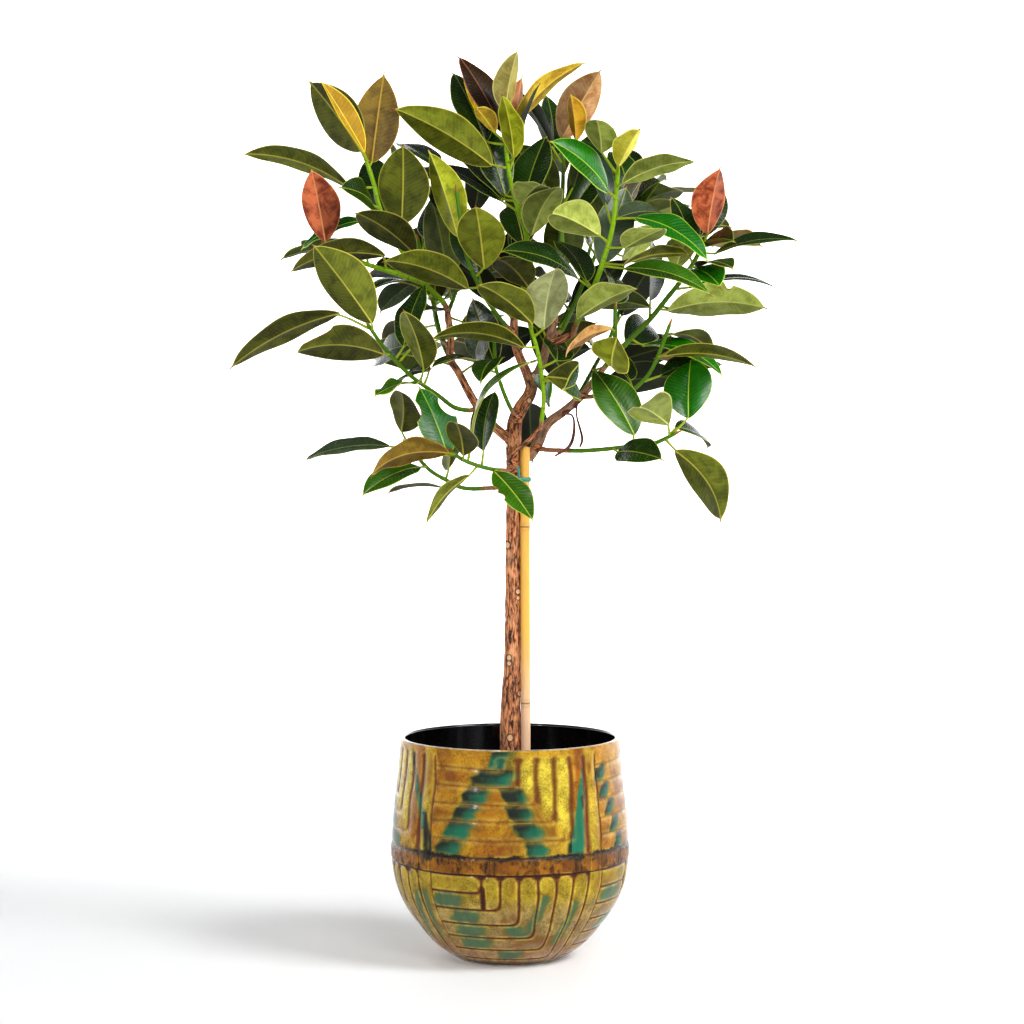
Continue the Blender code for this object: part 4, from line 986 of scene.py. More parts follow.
def tieFinish():
    plastic = Finish("greenTie")
    place = plastic.place()
    wear = plastic.cloud(place, 500, 3, 0.6)
    plastic.set(colour=plastic.mix(wear.rise(0.35, 0.75), *tie["greens"]), roughness=0.3 + 0.2 * wear)
    plastic.bump(wear, 0.0002, 0.4)
    return plastic.material


def buildTie():
    # a flat band drawn round the trunk and the cane, rounded at its edges
    trunkX, trunkDepth, trunkRadius = tie["trunk"]
    held = [(Vector((trunkX, trunkDepth)), trunkRadius),
            (canePoint(tie["height"]).xy / mm, cane["radius"])]
    half = tie["width"] / 2
    inner, outer = tie["gap"], tie["gap"] + tie["thickness"]
    small, large = tie["innerBevel"], tie["outerBevel"]
    corners = [(inner, half - small), (inner + small, half), (outer - large, half), (outer, half - large)]
    section = [(offset, -rise) for offset, rise in corners]
    section += [(outer + tie["crown"], 0), *reversed(corners), (inner, 0)]
    piece, row, column = gridSheet("tieBand", tie["sides"], len(section))
    points = []
    for k, part in zip(row, column):
        turn = math.tau * k / tie["sides"]
        direction = Vector((math.cos(turn), math.sin(turn)))
        centre, radius = max(held, key=lambda circle: circle[0].dot(direction) + circle[1])
        offset, rise = section[part % len(section)]
        reach = centre + direction * (radius + offset)
        points.append((reach.x, reach.y, tie["height"] + rise))
    layPoints(piece, np.array(points) * mm)
    closeSeams(piece)
    line = smoothLine([Vector(point) * mm for point in tie["end"]], tie["endSteps"])
    end = rod("tieEnd", line, [tie["endWidth"] * mm] * len(line), tie["endSides"])
    piece = joinPieces([piece, end])
    dress(piece, "tie", tieFinish())


buildCane()
buildTie()
print("stage: cane and tie")


# Wood
wood = {
    # seen x, depth, seen z and radius along each limb
    "trunk": [(0.6, 0, 120, 13), (0.6, 0, 290, 13), (3, 0, 372, 10.6), (4, 0, 480, 9.6), (4, 0, 600, 8.8),
              (4.5, 0, 650, 9.4), (6, 3, 672, 9), (14, 8, 690, 8.4), (24, 12, 705, 8), (28, 14, 722, 7.6)],
    "limbs": [
        [(27, 13, 716, 6.6), (20, 14, 735, 6.2), (12, 16, 752, 5.8), (5, 20, 776, 5.2), (5, 24, 800, 5)],
        [(28, 13, 716, 6.4), (36, 9, 735, 5.8), (42, 8, 752, 5.6), (48, 8, 775, 5.2), (55, 10, 795, 4.8)],
        [(47, 8, 770, 4.4), (60, 6, 773, 4.2), (75, 2, 780, 4)],
        [(4, 2, 646, 6.6), (-18, 0, 664, 6), (-40, -4, 690, 5.6), (-52, -6, 710, 5.2), (-64, -4, 733, 5),
         (-74, 2, 750, 4.8), (-74, 8, 778, 4.6), (-78, 14, 808, 4.4)],
        [(5, 3, 610, 6.6), (16, 11, 623, 6.8), (28, 12, 634, 6.6), (40, 10, 657, 6.2), (50, 8, 672, 6),
         (65, 8, 683, 5.8), (85, 9, 700, 5.4), (105, 12, 722, 5)],
        [(2, -4, 622, 3.4), (0, -12, 626, 3.2), (10, -17, 637, 3), (25, -22, 650, 3), (36, -27, 662, 3.2)],
    ],
    "dryRoots": [
        [(66, 8, 682, 1.8), (78, -2, 679, 1.4), (80, -14, 660, 2), (74, -27, 641, 2.2), (56, -27, 629, 1.2)],
        [(84, 8, 696, 1.6), (83, 3, 680, 1.3), (90, 0, 652, 1.8), (87, -2, 640, 1.4)],
    ],
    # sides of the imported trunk, limbs and roots, and of the fine rods that are worked over here
    "trunkSides": 8,
    "limbSides": 6,
    "rootSides": 4,
    "fineTrunkSides": 20,
    "fineSides": 14,
    "fineSteps": 5,
    "greyLimbs": (1, 4),
    "collarExtra": 0.7,
    "voxel": 0.95,
    "sampleStep": 2,
    # furrows, fine cracks and knots: how close across and along the limb, and how high in mm
    "roughness": ((230, 34, 0.5), (620, 120, 0.22), (60, 55, 0.6)),
    "roughShare": (1.0, 0.75, 0.8, 0.35),
    "scarRise": 0.9,
    "brown": (tone(44, 18, 8), tone(220, 138, 86)),
    "patch": tone(232, 166, 116),
    "crack": tone(30, 12, 6),
    "flake": tone(214, 168, 124),
    "grey": (tone(70, 56, 46), tone(150, 128, 104)),
    "dry": (tone(48, 20, 14), tone(112, 52, 34)),
    "scarPale": tone(236, 196, 150),
    "scarEdge": tone(70, 38, 24),
    # pale scars of cut twigs: seen x and z, and half width
    "scars": [(-3, 518, 4.2), (10, 460, 3.4), (10, 452, 2.6), (-1, 377, 3.6), (-1, 370, 3.2), (12, 332, 3.6),
              (0, 277, 4.4), (-8, 430, 2.4), (6, 566, 3.0), (-5, 642, 3.6), (30, 729, 3.2), (24, 698, 3.4)],
}


def limbLine(limb):
    return [seenAt(x, depth, z) for x, depth, z, _ in limb], [radius * mm for *_, radius in limb]


def smoothRod(name, limb, sides):
    places = smoothPlaces(*limbLine(limb), wood["fineSteps"])
    return rod(name, [place.to_3d() for place in places], [place.w for place in places], sides), places


def barkFinish():
    bark = Finish("furrowedBark")
    grain = bark.stored("grain", "Vector")
    furrow = bark.cloud(bark.stretch(grain, (1, 1, 0.22)), 330, 5, 0.68, 0.6)
    flakes = bark.cells(bark.stretch(grain, (1, 1, 0.45)), 420)
    patch = bark.cloud(grain, 60, 3, 0.6)
    lines = bark.cloud(bark.stretch(grain, (1, 1, 0.08)), 620, 3, 0.6)
    colour = bark.mix(furrow.rise(0.4, 0.6), *wood["brown"])
    colour = bark.mix(patch.rise(0.45, 0.7) * 0.55, colour, wood["patch"])
    colour = bark.mix(lines.rise(0.48, 0.36) * 0.85, colour, wood["crack"])
    colour = bark.mix(flakes.rise(0.25, 0.05) * 0.3, colour, wood["flake"])
    grey = bark.stored("grey")
    colour = bark.mix(grey * 0.6, colour, bark.mix(furrow, *wood["grey"]))
    dry = bark.stored("dry")
    colour = bark.mix(dry, colour, bark.mix(furrow.rise(0.35, 0.6), *wood["dry"]))
    scar = bark.stored("scar")
    colour = bark.mix((scar + 0.3 * (furrow - 0.5)).rise(0.5, 0.8) * 0.75, colour, wood["scarPale"])
    colour = bark.mix(scar.rise(0.12, 0.4) * scar.rise(0.75, 0.5) * 0.8, colour, wood["scarEdge"])
    bark.set(colour=colour, roughness=0.8, shine=0.3)
    bark.bump(furrow + 0.6 * lines - 0.5 * flakes, 0.0014, 0.8)
    return bark.material


def buildWood():
    rods = []
    lines = []  # places with radius, and a kind: 0 trunk, 1 limb, 2 grey limb, 3 dry root
    limbs = [(0, wood["trunk"])]
    limbs += [(2 if k in wood["greyLimbs"] else 1, limb) for k, limb in enumerate(wood["limbs"])]
    limbs += [(3, root) for root in wood["dryRoots"]]
    for number, (kind, limb) in enumerate(limbs):
        sides = wood["fineSides"] if kind else wood["fineTrunkSides"]
        piece, places = smoothRod(f"limb{number}", limb, sides)
        rods.append(piece)
        lines.append((kind, places))
    for name, shoot in shoots.items():
        if "collar" in shoot:
            foot, face = collarLine(shoot)
            radius = (shoot["radius"][0] + wood["collarExtra"]) * mm
            rods.append(rod(f"{name}Collar", [foot, foot.lerp(face, 0.6), face],
                            [radius * 1.12, radius * 1.02, radius], wood["fineSides"]))
            lines.append((1, [Vector((*foot, radius)), Vector((*foot.lerp(face, 0.5), radius)),
                              Vector((*face, radius))]))
    piece = joinPieces(rods)
    piece.name = "woodFurrowed"
    applyModifier(piece, "REMESH", mode="VOXEL", voxel_size=wood["voxel"] * mm)
    applyModifier(piece, "SMOOTH", factor=0.5, iterations=2)
    shapeWood(piece, lines)
    dress(piece, "trunk", barkFinish())


def shapeWood(piece, lines):
    # furrows and knots follow each limb; each point takes the limb whose middle line is nearest
    samples = []
    for kind, places in lines:
        centres = []
        for a, b in zip(places, places[1:]):
            count = max(int((b - a).length / (wood["sampleStep"] * mm)), 1)
            centres += [a.lerp(b, i / count).to_3d() for i in range(count)]
        centres.append(places[-1].to_3d())
        along = 0
        for i, (ahead, side, rise) in enumerate(carried(centres)):
            if i:
                along += (centres[i] - centres[i - 1]).length
            samples.append((centres[i], ahead, side, rise, along, kind))
    tree = nearestTree([sample[0] for sample in samples])
    scars = [(x * mm, z * mm, size * mm) for x, z, size in wood["scars"]]
    grain, grey, dry, scarred, moved = [], [], [], [], []
    for vertex in piece.data.vertices:
        point = vertex.co
        centre, ahead, side, rise, along, kind = samples[tree.find(point)[1]]
        away = point - centre
        local = Vector((away.dot(side), away.dot(rise), along + away.dot(ahead)))
        grain.append(local + Vector((0, 0, 0.31 * kind)))
        grey.append(1.0 if kind == 2 else 0.0)
        dry.append(1.0 if kind == 3 else 0.0)
        lift = sum(height * noise.noise(Vector((local.x * across, local.y * across, local.z * length)))
                   for across, length, height in wood["roughness"]) * wood["roughShare"][kind]
        scar = 0.0
        if point.y < centre.y:
            for x, z, radius in scars:
                miss = math.hypot(point.x - x, (point.z - z) * 0.8) / radius
                scar = max(scar, 1.35 - miss)
        scar = min(max(scar, 0), 1)
        lift += wood["scarRise"] * (scar - (1 if scar > 0.85 else 0))
        scarred.append(scar)
        moved.append(point + vertex.normal * lift * mm)
    layPoints(piece, np.array(moved))
    storeNumbers(piece, "grain", np.array(grain))
    storeNumbers(piece, "grey", grey)
    storeNumbers(piece, "dry", dry)
    storeNumbers(piece, "scar", scarred)


# Shoots and leaves
leafForm = {
    "ribThickness": 1.9,
    "stalkRadius": 1.5,
    "fold": {"mature": 9, "cupped": 24, "young": 34, "plain": 9},
    "stations": {
        "mature": (0.17, 0.42, 0.68, 0.88), "cupped": (0.17, 0.42, 0.68, 0.88),
        "young": (0.25, 0.6, 0.88), "plain": (0.22, 0.55, 0.85),
    },
    # the outline: where the body ends, how far it leans to the base, and how round it is
    "bodyEnd": 0.95,
    "bodyLean": 0.94,
    "bodyRound": 0.72,
    # a leaf's root: between which shares of a stem's leg, and how far back from the nearest point
    "rootShares": (0.15, 0.97),
    "rootBack": 5,
    "baseDepth": 9,
    "shootSides": 5,
    "budLength": 12,
    "budRadius": 1.6,
    "depthSpread": 1.5,
    "clearance": 0.3,
}
# Leaves by rule, and how a leaf that would cross another is bent.
leafRule = {
    "goldenTurn": 137.5,
    "seed": 1,
    "spread": (78, 28),
    "length": (116, 92),
    "stalk": 28,
    "droop": 0.12,
    "lowest": 742,
    "first": 0.3,
    "last": 0.97,
    "away": 80,
    # what is drawn for each leaf
    "turnDraw": (-12, 12),
    "spreadDraw": (-6, 6),
    "lengthDraw": (0.92, 1.08),
    "widthDraw": (0.42, 0.48),
    "archDraw": (5, 12),
    "otherTurns": (0, 24, -24, 48, -48, 75, -75, 105, -105),
    "room": 0.8,
    "depths": (0, 9, -9, 18, -18, 28, -28, 40, -40, 54, -54, 70, -70),
    "arches": (0, 6, -6, 12),
    "rises": (0, 7, -7),
    "archCost": 2.2,
    "riseCost": 2.6,
    "few": 30,
    "baseShare": 0.25,
}

# The fine blade, modelled once: rows from base to tip, and how far across its columns stand.
blade = {
    "rows": 34,
    "across": (0, 0.045, 0.14, 0.27, 0.41, 0.56, 0.71, 0.85, 0.955, 1),
    "thickness": 0.75,
    "ribRise": 0.85,
    "ribWidth": 1.5,
    "stalkRows": 10,
    "stalkSides": 8,
    # at its start, how much thinner it gets, and how much its foot adds
    "stalkRadius": (1.75, 0.7, 0.5),
    "tipHook": 2.2,
    # what is drawn for each leaf: twist in degrees, bulge, waves along it and their depth in mm, the hook
    # at its tip, how light it is, and how much of its tip is dry
    "twist": (-7, 7),
    "swell": (-0.35, 0.9),
    "waves": (1.3, 2.6),
    "waveDepth": (0.5, 1.5),
    "hook": (0.2, 1.2),
    "light": (0.86, 1.12),
    "dryTip": (0.0, 0.05),
    # painted light and shade: how much lighter than the middle tone the lit half is, and darker the shaded
    # half, on the face and on the back
    "litAndShadedHalves": (0.16, 0.27),
    "seed": 4,
}

# Each kind of leaf: the colour of its upper face and its back, the patches on its back, its rib and margin.
leafKinds = {
    "olive": ((24, 62, 6), (92, 98, 22), (62, 68, 12), (188, 180, 66)),
    # the olive leaf comes in a lighter copy with painted light and a darker copy with painted shade
    "litOlive": ((30, 70, 10), (122, 130, 32), (86, 92, 16), (208, 196, 70)),
    "shadedOlive": ((16, 44, 6), (70, 73, 18), (44, 47, 9), (160, 152, 56)),
    "deep": ((22, 50, 6), (60, 70, 10), (40, 48, 6), (140, 160, 42)),
    "bright": ((14, 100, 4), (100, 112, 24), (72, 84, 14), (178, 208, 54)),
    "green": ((48, 96, 10), (100, 112, 24), (72, 84, 14), (188, 202, 72)),
    # a green leaf whose bluish grey top is a painted sheen
    "grey": ((62, 78, 52), (96, 104, 48), (72, 80, 34), (150, 160, 76)),
    "pale": ((56, 108, 20), (146, 156, 72), (110, 120, 44), (206, 206, 110)),
    # a pale underside with a painted satin highlight, whitish grey
    "paleSheen": ((60, 90, 40), (146, 150, 100), (114, 118, 74), (186, 188, 124)),
    "lime": ((60, 120, 8), (146, 152, 22), (104, 110, 8), (218, 210, 76)),
    "straw": ((120, 130, 30), (208, 200, 68), (172, 160, 40), (238, 226, 104)),
    "young": ((170, 130, 10), (246, 222, 4), (190, 118, 8), (248, 220, 44)),
    "ochre": ((100, 96, 20), (196, 168, 48), (152, 110, 24), (230, 208, 80)),
    "bronze": ((50, 50, 16), (118, 94, 26), (84, 64, 16), (190, 152, 52)),
    "orange": ((140, 100, 20), (222, 170, 46), (182, 124, 26), (238, 202, 72)),
    "red": ((80, 40, 16), (180, 92, 54), (100, 36, 18), (222, 146, 92)),
    "pink": ((80, 50, 30), (196, 132, 94), (150, 84, 52), (226, 172, 102)),
    "tan": ((110, 80, 46), (196, 152, 102), (152, 102, 58), (218, 186, 112)),
    "beige": ((90, 88, 40), (174, 162, 86), (136, 122, 58), (208, 198, 112)),
    "brown": ((44, 28, 8), (66, 42, 14), (36, 24, 8), (180, 108, 74)),
    "dry": ((150, 110, 60), (206, 156, 92), (156, 100, 50), (226, 180, 110)),
    # painted shade: an almost black kind for leaves set by rule deep in the crown, standing for its shade
    "paintedShade": ((14, 46, 8), (22, 29, 5), (14, 18, 3), (64, 80, 24)),
}

shoots = {
    "shoot_upper_left": {
        "limb": 3, "radius": (3.8, 2.4), "more": 1,
        "lines": [
            [(-78, 14, 808), (-86, 12, 824), (-110, 2, 848), (-137, -10, 888), (-160, -18, 932),
             (-170, -20, 970), (-180, -22, 1000)],
            [(-105, 3, 844), (-128, -2, 852), (-150, -6, 859), (-190, -12, 872), (-224, -16, 890)],
        ],
        "leaves": [
            (-185, 1008, -252, 1098, 0.4, 116, 60, -62, 5, "mature", "shadedOlive"),
            (-181, 1006, -235, 1095, -0.6, 104, 34, 50, 2, "young", "young"),
            (-172, 994, -157, 1109, 0.1, 116, 58, -80, 4, "mature", "bronze"),
            (-198, 961, -337, 1004, -0.3, 144, 50, -28, 15, "mature", "olive"),
            (-170, 940, -213, 963, -1, 92, 42, 42, 8, "mature", "deep"),
            (-135, 916, -133, 1018, -0.8, 112, 66, -80, 5, "mature", "olive"),
            (-145, 930, -150, 1022, 1, 108, 46, -15, 5, "plain", "deep"),
            (-118, 880, -194, 932, -1, 112, 54, -46, 8, "mature", "shadedOlive"),
            (-182, 922, -261, 885, 0.5, 100, 34, 30, 8, "mature", "bright"),
            (-229, 895, -245, 985, -0.4, 94, 53, -78, 2, "cupped", "red"),
            (-155, 878, -273, 855, -1, 124, 50, -35, 16, "mature", "shadedOlive"),
            (-178, 880, -288, 873, 1, 116, 40, -18, 12, "plain", "deep"),
            (-200, 884, -262, 890, 1, 92, 40, 12, 10, "plain", "deep"),
        ],
    },
    "shoot_left": {
        "collar": 9, "radius": (3.1, 2.3), "more": 0,
        "lines": [
            [(-38, -4, 688), (-52, -14, 686), (-70, -22, 690), (-90, -30, 705), (-120, -42, 726),
             (-140, -48, 745), (-160, -54, 768), (-175, -58, 790)],
        ],
        "leaves": [
            (-171, 794, -245, 893, -0.3, 130, 66, -72, 5, "cupped", "olive"),
            (-212, 807, -352, 736, -0.2, 156, 50, -35, 12, "mature", "shadedOlive"),
            (-157, 756, -270, 757, -0.4, 118, 58, -50, 17, "mature", "shadedOlive"),
            (-107, 737, -133, 812, -1, 106, 52, -45, 5, "mature", "olive"),
            (-132, 765, -104, 845, 1, 104, 45, 48, 6, "mature", "deep"),
            (-110, 721, -171, 702, -1, 92, 34, 16, 6, "mature", "green"),
            (-100, 735, -140, 715, 1, 90, 40, 10, 8, "plain", "deep"),
            (-118, 768, -170, 742, 1, 100, 46, 40, 10, "plain", "grey"),
        ],
    },
    "shoot_left_back": {
        "collar": 11, "radius": (3.1, 2.4), "more": 6,
        "lines": [
            [(-74, 5, 762), (-86, 26, 778), (-96, 52, 820), (-106, 70, 858), (-114, 80, 895)],
        ],
        "leaves": [
            (-106, 850, -172, 860, -0.6, 110, 50, 22, 8, "mature", "deep"),
            (-100, 830, -178, 832, -1, 112, 46, 5, 15, "mature", "olive"),
            (-118, 845, -165, 808, -1, 98, 50, 40, 10, "mature", "grey"),
            (-92, 810, -122, 808, -1, 98, 48, 28, 8, "mature", "grey"),
        ],
    },
    "shoot_centre_left": {
        "collar": 8, "radius": (3, 2.3), "more": 2,
        "lines": [
            [(5, 21, 782), (-10, 8, 797), (-30, -8, 825), (-42, -18, 848), (-53, -24, 875),
             (-60, -24, 910), (-66, -20, 955)],
        ],
        "leaves": [
            (-52, 837, -160, 872, -0.8, 124, 56, -44, 12, "mature", "olive"),
            (-32, 862, -43, 941, -1, 112, 60, -80, 6, "mature", "litOlive"),
            (-65, 902, -102, 1011, 0.2, 118, 50, -60, 4, "cupped", "lime"),
            (-92, 988, -142, 1021, 1, 104, 46, 30, 6, "plain", "deep"),
            (-70, 955, -140, 990, 0.9, 112, 50, 20, 10, "plain", "deep"),
        ],
    },
    "shoot_centre_top": {
        "limb": 0, "radius": (4, 2.5), "more": 3,
        "lines": [
            [(5, 24, 800), (9, 24, 815), (22, 21, 860), (20, 15, 905), (12, 10, 930), (4, 6, 957),
             (-2, 3, 985), (-6, 0, 1025)],
        ],
        "leaves": [
            (-22, 990, -148, 1062, -0.4, 146, 60, -56, 12, "mature", "litOlive"),
            (-9, 1031, -66, 1129, 0.4, 118, 50, 48, 5, "mature", "brown"),
            (-30, 1040, -57, 1095, 0.5, 64, 22, 12, 2, "young", "young"),
            (-18, 1030, -43, 1062, -1, 60, 28, -60, 2, "young", "ochre"),
            (-6, 1056, 10, 1134, -0.7, 88, 42, -48, 3, "cupped", "beige"),
            (5, 1000, -10, 1079, -1, 95, 38, -50, 4, "mature", "lime"),
            (4, 1035, 97, 1119, 0.3, 130, 44, -26, 13, "mature", "ochre"),
            (8, 1048, 15, 1102, 0.8, 62, 28, -60, 2, "young", "pink"),
            (-12, 915, -107, 987, -1, 140, 62, -46, 9, "mature", "pale"),
            (-8, 947, -85, 1020, 0.7, 118, 50, 30, 8, "mature", "deep"),
            (14, 941, 39, 967, -1, 84, 46, -50, 6, "mature", "pale"),
            (27, 906, 62, 972, -1, 100, 50, -55, 10, "mature", "pale"),
            (24, 838, -17, 875, -1, 98, 50, -50, 8, "mature", "shadedOlive"),
            (-30, 1018, -72, 1107, 0.9, 112, 50, 62, 5, "plain", "deep"),
            (-6, 952, -38, 1042, 0.9, 104, 46, 70, 6, "plain", "deep"),
            (16, 940, 46, 1028, 1, 106, 50, 62, 6, "plain", "deep"),
        ],
    },
    "shoot_top_right": {
        "limb": 1, "radius": (3.8, 2.4), "more": 4,
        "lines": [
            [(55, 10, 795), (57, 17, 808), (61, 38, 855), (64, 58, 920), (66, 70, 980),
             (65, 74, 1012)],
        ],
        "leaves": [
            (64, 1022, 113, 1108, -0.3, 108, 55, -74, 4, "cupped", "tan"),
            (82, 1020, 75, 1078, -1, 72, 32, -60, 2, "young", "orange"),
            (54, 1000, 44, 1080, 0.9, 98, 46, 40, 5, "plain", "deep"),
            (70, 985, 30, 1050, 0.5, 104, 48, -50, 6, "mature", "olive"),
            (72, 950, 128, 1030, 0.9, 112, 50, -35, 8, "plain", "olive"),
            (56, 946, 0, 1018, 0.5, 104, 58, -62, 8, "plain", "deep"),
            (74, 925, 120, 988, 0.6, 96, 48, 52, 6, "plain", "deep"),
            (68, 866, 62, 950, 1, 96, 54, -80, 6, "plain", "deep"),
        ],
    },
    "shoot_right_front": {
        "limb": 2, "radius": (3.8, 2.7), "more": 2,
        "lines": [
            [(75, 2, 780), (82, -6, 792), (95, -26, 820), (108, -42, 848), (117, -52, 875),
             (125, -58, 902), (130, -62, 932), (134, -66, 985)],
        ],
        "leaves": [
            (122, 957, 47, 1022, -1, 115, 52, 42, 10, "mature", "bright"),
            (114, 1006, 107, 1048, -1, 86, 41, -60, 4, "mature", "pale"),
            (135, 988, 161, 1036, -1, 74, 38, -54, 2, "young", "straw"),
            (140, 968, 233, 995, -0.8, 110, 46, -32, 8, "mature", "pale"),
            (155, 925, 249, 869, -0.7, 118, 50, 38, 14, "mature", "bright"),
            (135, 925, 196, 926, 1, 104, 46, 30, 8, "plain", "grey"),
            (142, 888, 192, 912, -1, 98, 46, -32, 8, "mature", "pale"),
            (112, 903, 50, 931, -1, 96, 54, -60, 8, "cupped", "pale"),
            (142, 862, 253, 828, -0.6, 120, 50, 30, 12, "mature", "green"),
            (85, 849, -15, 884, -0.9, 120, 52, 32, 13, "mature", "deep"),
            (95, 846, 55, 898, 1, 108, 50, 35, 8, "plain", "deep"),
            (140, 866, 226, 879, 1, 104, 40, -20, 8, "plain", "olive"),
            (84, 800, 158, 838, -1, 108, 50, -42, 6, "cupped", "pale"),
        ],
    },
    "shoot_right_back": {
        "collar": 12, "radius": (3, 2.3), "more": 3,
        "lines": [
            [(48, 8, 776), (66, 22, 788), (86, 40, 832), (112, 62, 890), (138, 80, 928),
             (152, 88, 955)],
        ],
        "leaves": [
            (153, 940, 149, 1012, 1, 104, 46, 75, 6, "plain", "deep"),
            (157, 948, 196, 973, 1, 100, 42, 10, 8, "plain", "deep"),
            (147, 942, 168, 978, -1, 78, 38, 40, 2, "cupped", "ochre"),
            (152, 933, 190, 973, -1, 104, 46, 42, 8, "mature", "deep"),
            (158, 938, 216, 959, -1, 104, 46, -36, 8, "mature", "pale"),
            (160, 920, 228, 940, -1, 104, 46, -30, 8, "mature", "pale"),
            (140, 876, 190, 908, 1, 92, 46, -42, 6, "plain", "pale"),
            (146, 938, 123, 1008, 1, 92, 44, 62, 6, "plain", "deep"),
        ],
    },
    "shoot_right": {
        "limb": 4, "radius": (4, 2.6), "more": 4,
        "lines": [
            [(105, 12, 722), (112, 13, 732), (125, 14, 748), (150, 16, 775), (175, 16, 800),
             (195, 14, 825), (215, 12, 850), (232, 10, 876), (243, 8, 900)],
            [(124, 14, 747), (130, 6, 758), (131, -4, 780), (131, -8, 812)],
        ],
        "leaves": [
            (245, 905, 260, 988, -0.5, 92, 52, -62, 3, "cupped", "red"),
            (224, 902, 276, 914, 1, 98, 38, -20, 8, "plain", "olive"),
            (254, 880, 362, 896, -0.2, 118, 44, 20, 10, "mature", "deep"),
            (252, 892, 315, 890, 1, 94, 42, -32, 8, "plain", "bronze"),
            (240, 892, 280, 896, -1, 84, 44, 35, 6, "mature", "deep"),
            (234, 864, 279, 861, -1, 94, 42, 15, 8, "mature", "olive"),
            (226, 860, 262, 838, -1, 84, 50, 50, 8, "mature", "bright"),
            (206, 860, 238, 898, -1, 88, 46, -50, 6, "mature", "pale"),
            (196, 810, 323, 812, -0.4, 130, 60, -44, 15, "mature", "pale"),
            (200, 812, 300, 812, 1, 116, 44, 10, 8, "plain", "olive"),
            (165, 766, 268, 725, -0.5, 124, 50, 24, 17, "mature", "bright"),
            (127, 788, 68, 752, -1, 88, 26, -34, 10, "mature", "dry"),
            (133, 776, 128, 738, -1, 88, 56, -68, 6, "mature", "litOlive"),
            (132, 820, 118, 862, 1, 92, 46, 30, 6, "plain", "deep"),
            (222, 878, 197, 950, 1, 92, 42, 60, 6, "plain", "olive"),
        ],
    },
    "shoot_right_low": {
        "collar": 9, "radius": (3, 2.3), "more": 1,
        "lines": [
            [(88, 9, 703), (100, 2, 703), (120, -6, 706), (150, -12, 711), (163, -14, 720),
             (176, -16, 736), (187, -20, 760), (198, -24, 790)],
        ],
        "leaves": [
            (192, 754, 306, 737, 0.4, 122, 50, -22, 11, "mature", "olive"),
            (184, 752, 226, 744, 1, 80, 38, -30, 6, "plain", "bronze"),
            (192, 776, 256, 752, 1, 104, 42, -24, 10, "mature", "olive"),
            (150, 724, 120, 768, 0.8, 96, 44, 35, 8, "plain", "deep"),
        ],
    },
    "shoot_front": {
        "limb": 5, "radius": (3, 2.3), "more": 0,
        "lines": [
            [(36, -27, 662), (39, -29, 671), (42, -34, 700), (38, -42, 740), (33, -48, 765),
             (25, -54, 790)],
        ],
        "leaves": [
            (42, 787, 58, 865, -0.9, 106, 58, -64, 8, "mature", "paleSheen"),
            (28, 794, -42, 843, -1, 110, 52, -46, 8, "mature", "olive"),
            (18, 764, -102, 773, -0.5, 128, 50, -26, 15, "mature", "olive"),
            (58, 748, 53, 769, 1, 74, 44, 50, 5, "mature", "deep"),
            (46, 728, 63, 711, -1, 84, 50, -40, 26, "mature", "olive"),
            (52, 726, 50, 703, 1, 80, 44, 30, 10, "plain", "bright"),
        ],
    },
    "shoot_front_left": {
        "collar": 11, "radius": (2.8, 2.2), "more": 1,
        "lines": [
            [(8, 3, 676), (2, -8, 686), (-5, -16, 701), (-12, -22, 720), (-18, -28, 742),
             (-20, -34, 778)],
        ],
        "leaves": [
            (-14, 748, -37, 718, -1, 84, 40, 40, 10, "mature", "deep"),
            (-25, 790, -42, 746, -0.4, 92, 56, 56, 8, "mature", "deep"),
            (-26, 735, -102, 737, -0.8, 100, 42, 6, 14, "mature", "olive"),
        ],
    },
    "shoot_low_right": {
        "collar": 11, "radius": (3.2, 2.4), "more": 0,
        "lines": [
            [(31, 12, 640), (44, 6, 637), (60, -2, 636), (100, -18, 636), (150, -34, 641),
             (180, -42, 645), (204, -48, 656)],
        ],
        "leaves": [
            (155, 655, 101, 739, 0.9, 116, 62, 56, 6, "mature", "green"),
            (134, 634, 192, 624, -1, 98, 46, 48, 6, "mature", "deep"),
            (206, 636, 264, 545, -0.5, 120, 58, -50, 21, "mature", "olive"),
            (198, 668, 160, 690, -1, 92, 60, -58, 6, "cupped", "pale"),
            (223, 676, 226, 751, 1, 96, 64, 68, 5, "mature", "bright"),
            (206, 664, 248, 638, 1, 90, 38, 12, 8, "plain", "deep"),
        ],
    },
    "shoot_low_front": {
        "collar": 13, "radius": (3.1, 2.3), "more": 0,
        "lines": [
            [(4, 0, 608), (-7, -12, 611), (-20, -24, 612), (-40, -38, 617), (-60, -50, 625),
             (-72, -58, 634)],
        ],
        "leaves": [
            (-78, 631, -114, 724, 0.6, 114, 53, 62, 6, "mature", "bright"),
            (-47, 645, 32, 748, -0.6, 134, 40, 8, 24, "mature", "pale"),
            (-33, 636, -18, 712, 0.6, 98, 48, 42, 6, "mature", "deep"),
            (-20, 610, 30, 547, -0.6, 98, 42, 56, 5, "mature", "green"),
            (-50, 605, -106, 540, -0.6, 98, 38, -22, 8, "mature", "olive"),
            (-76, 633, -174, 604, -0.4, 116, 50, -38, 17, "mature", "bronze"),
            (-58, 630, -68, 672, -1, 84, 44, -58, 4, "mature", "shadedOlive"),
        ],
    },
    "shoot_low_left": {
        "collar": 13, "radius": (3.1, 2.3), "more": 0,
        "lines": [
            [(4, 0, 592), (-9, 7, 590), (-25, 9, 589), (-45, 7, 588), (-62, 3, 590), (-78, -4, 598),
             (-102, -14, 613), (-127, -24, 642)],
        ],
        "leaves": [
            (-112, 615, -187, 577, -0.8, 104, 44, 38, 9, "mature", "green"),
            (-150, 641, -261, 622, 0.2, 120, 40, 26, 9, "mature", "grey"),
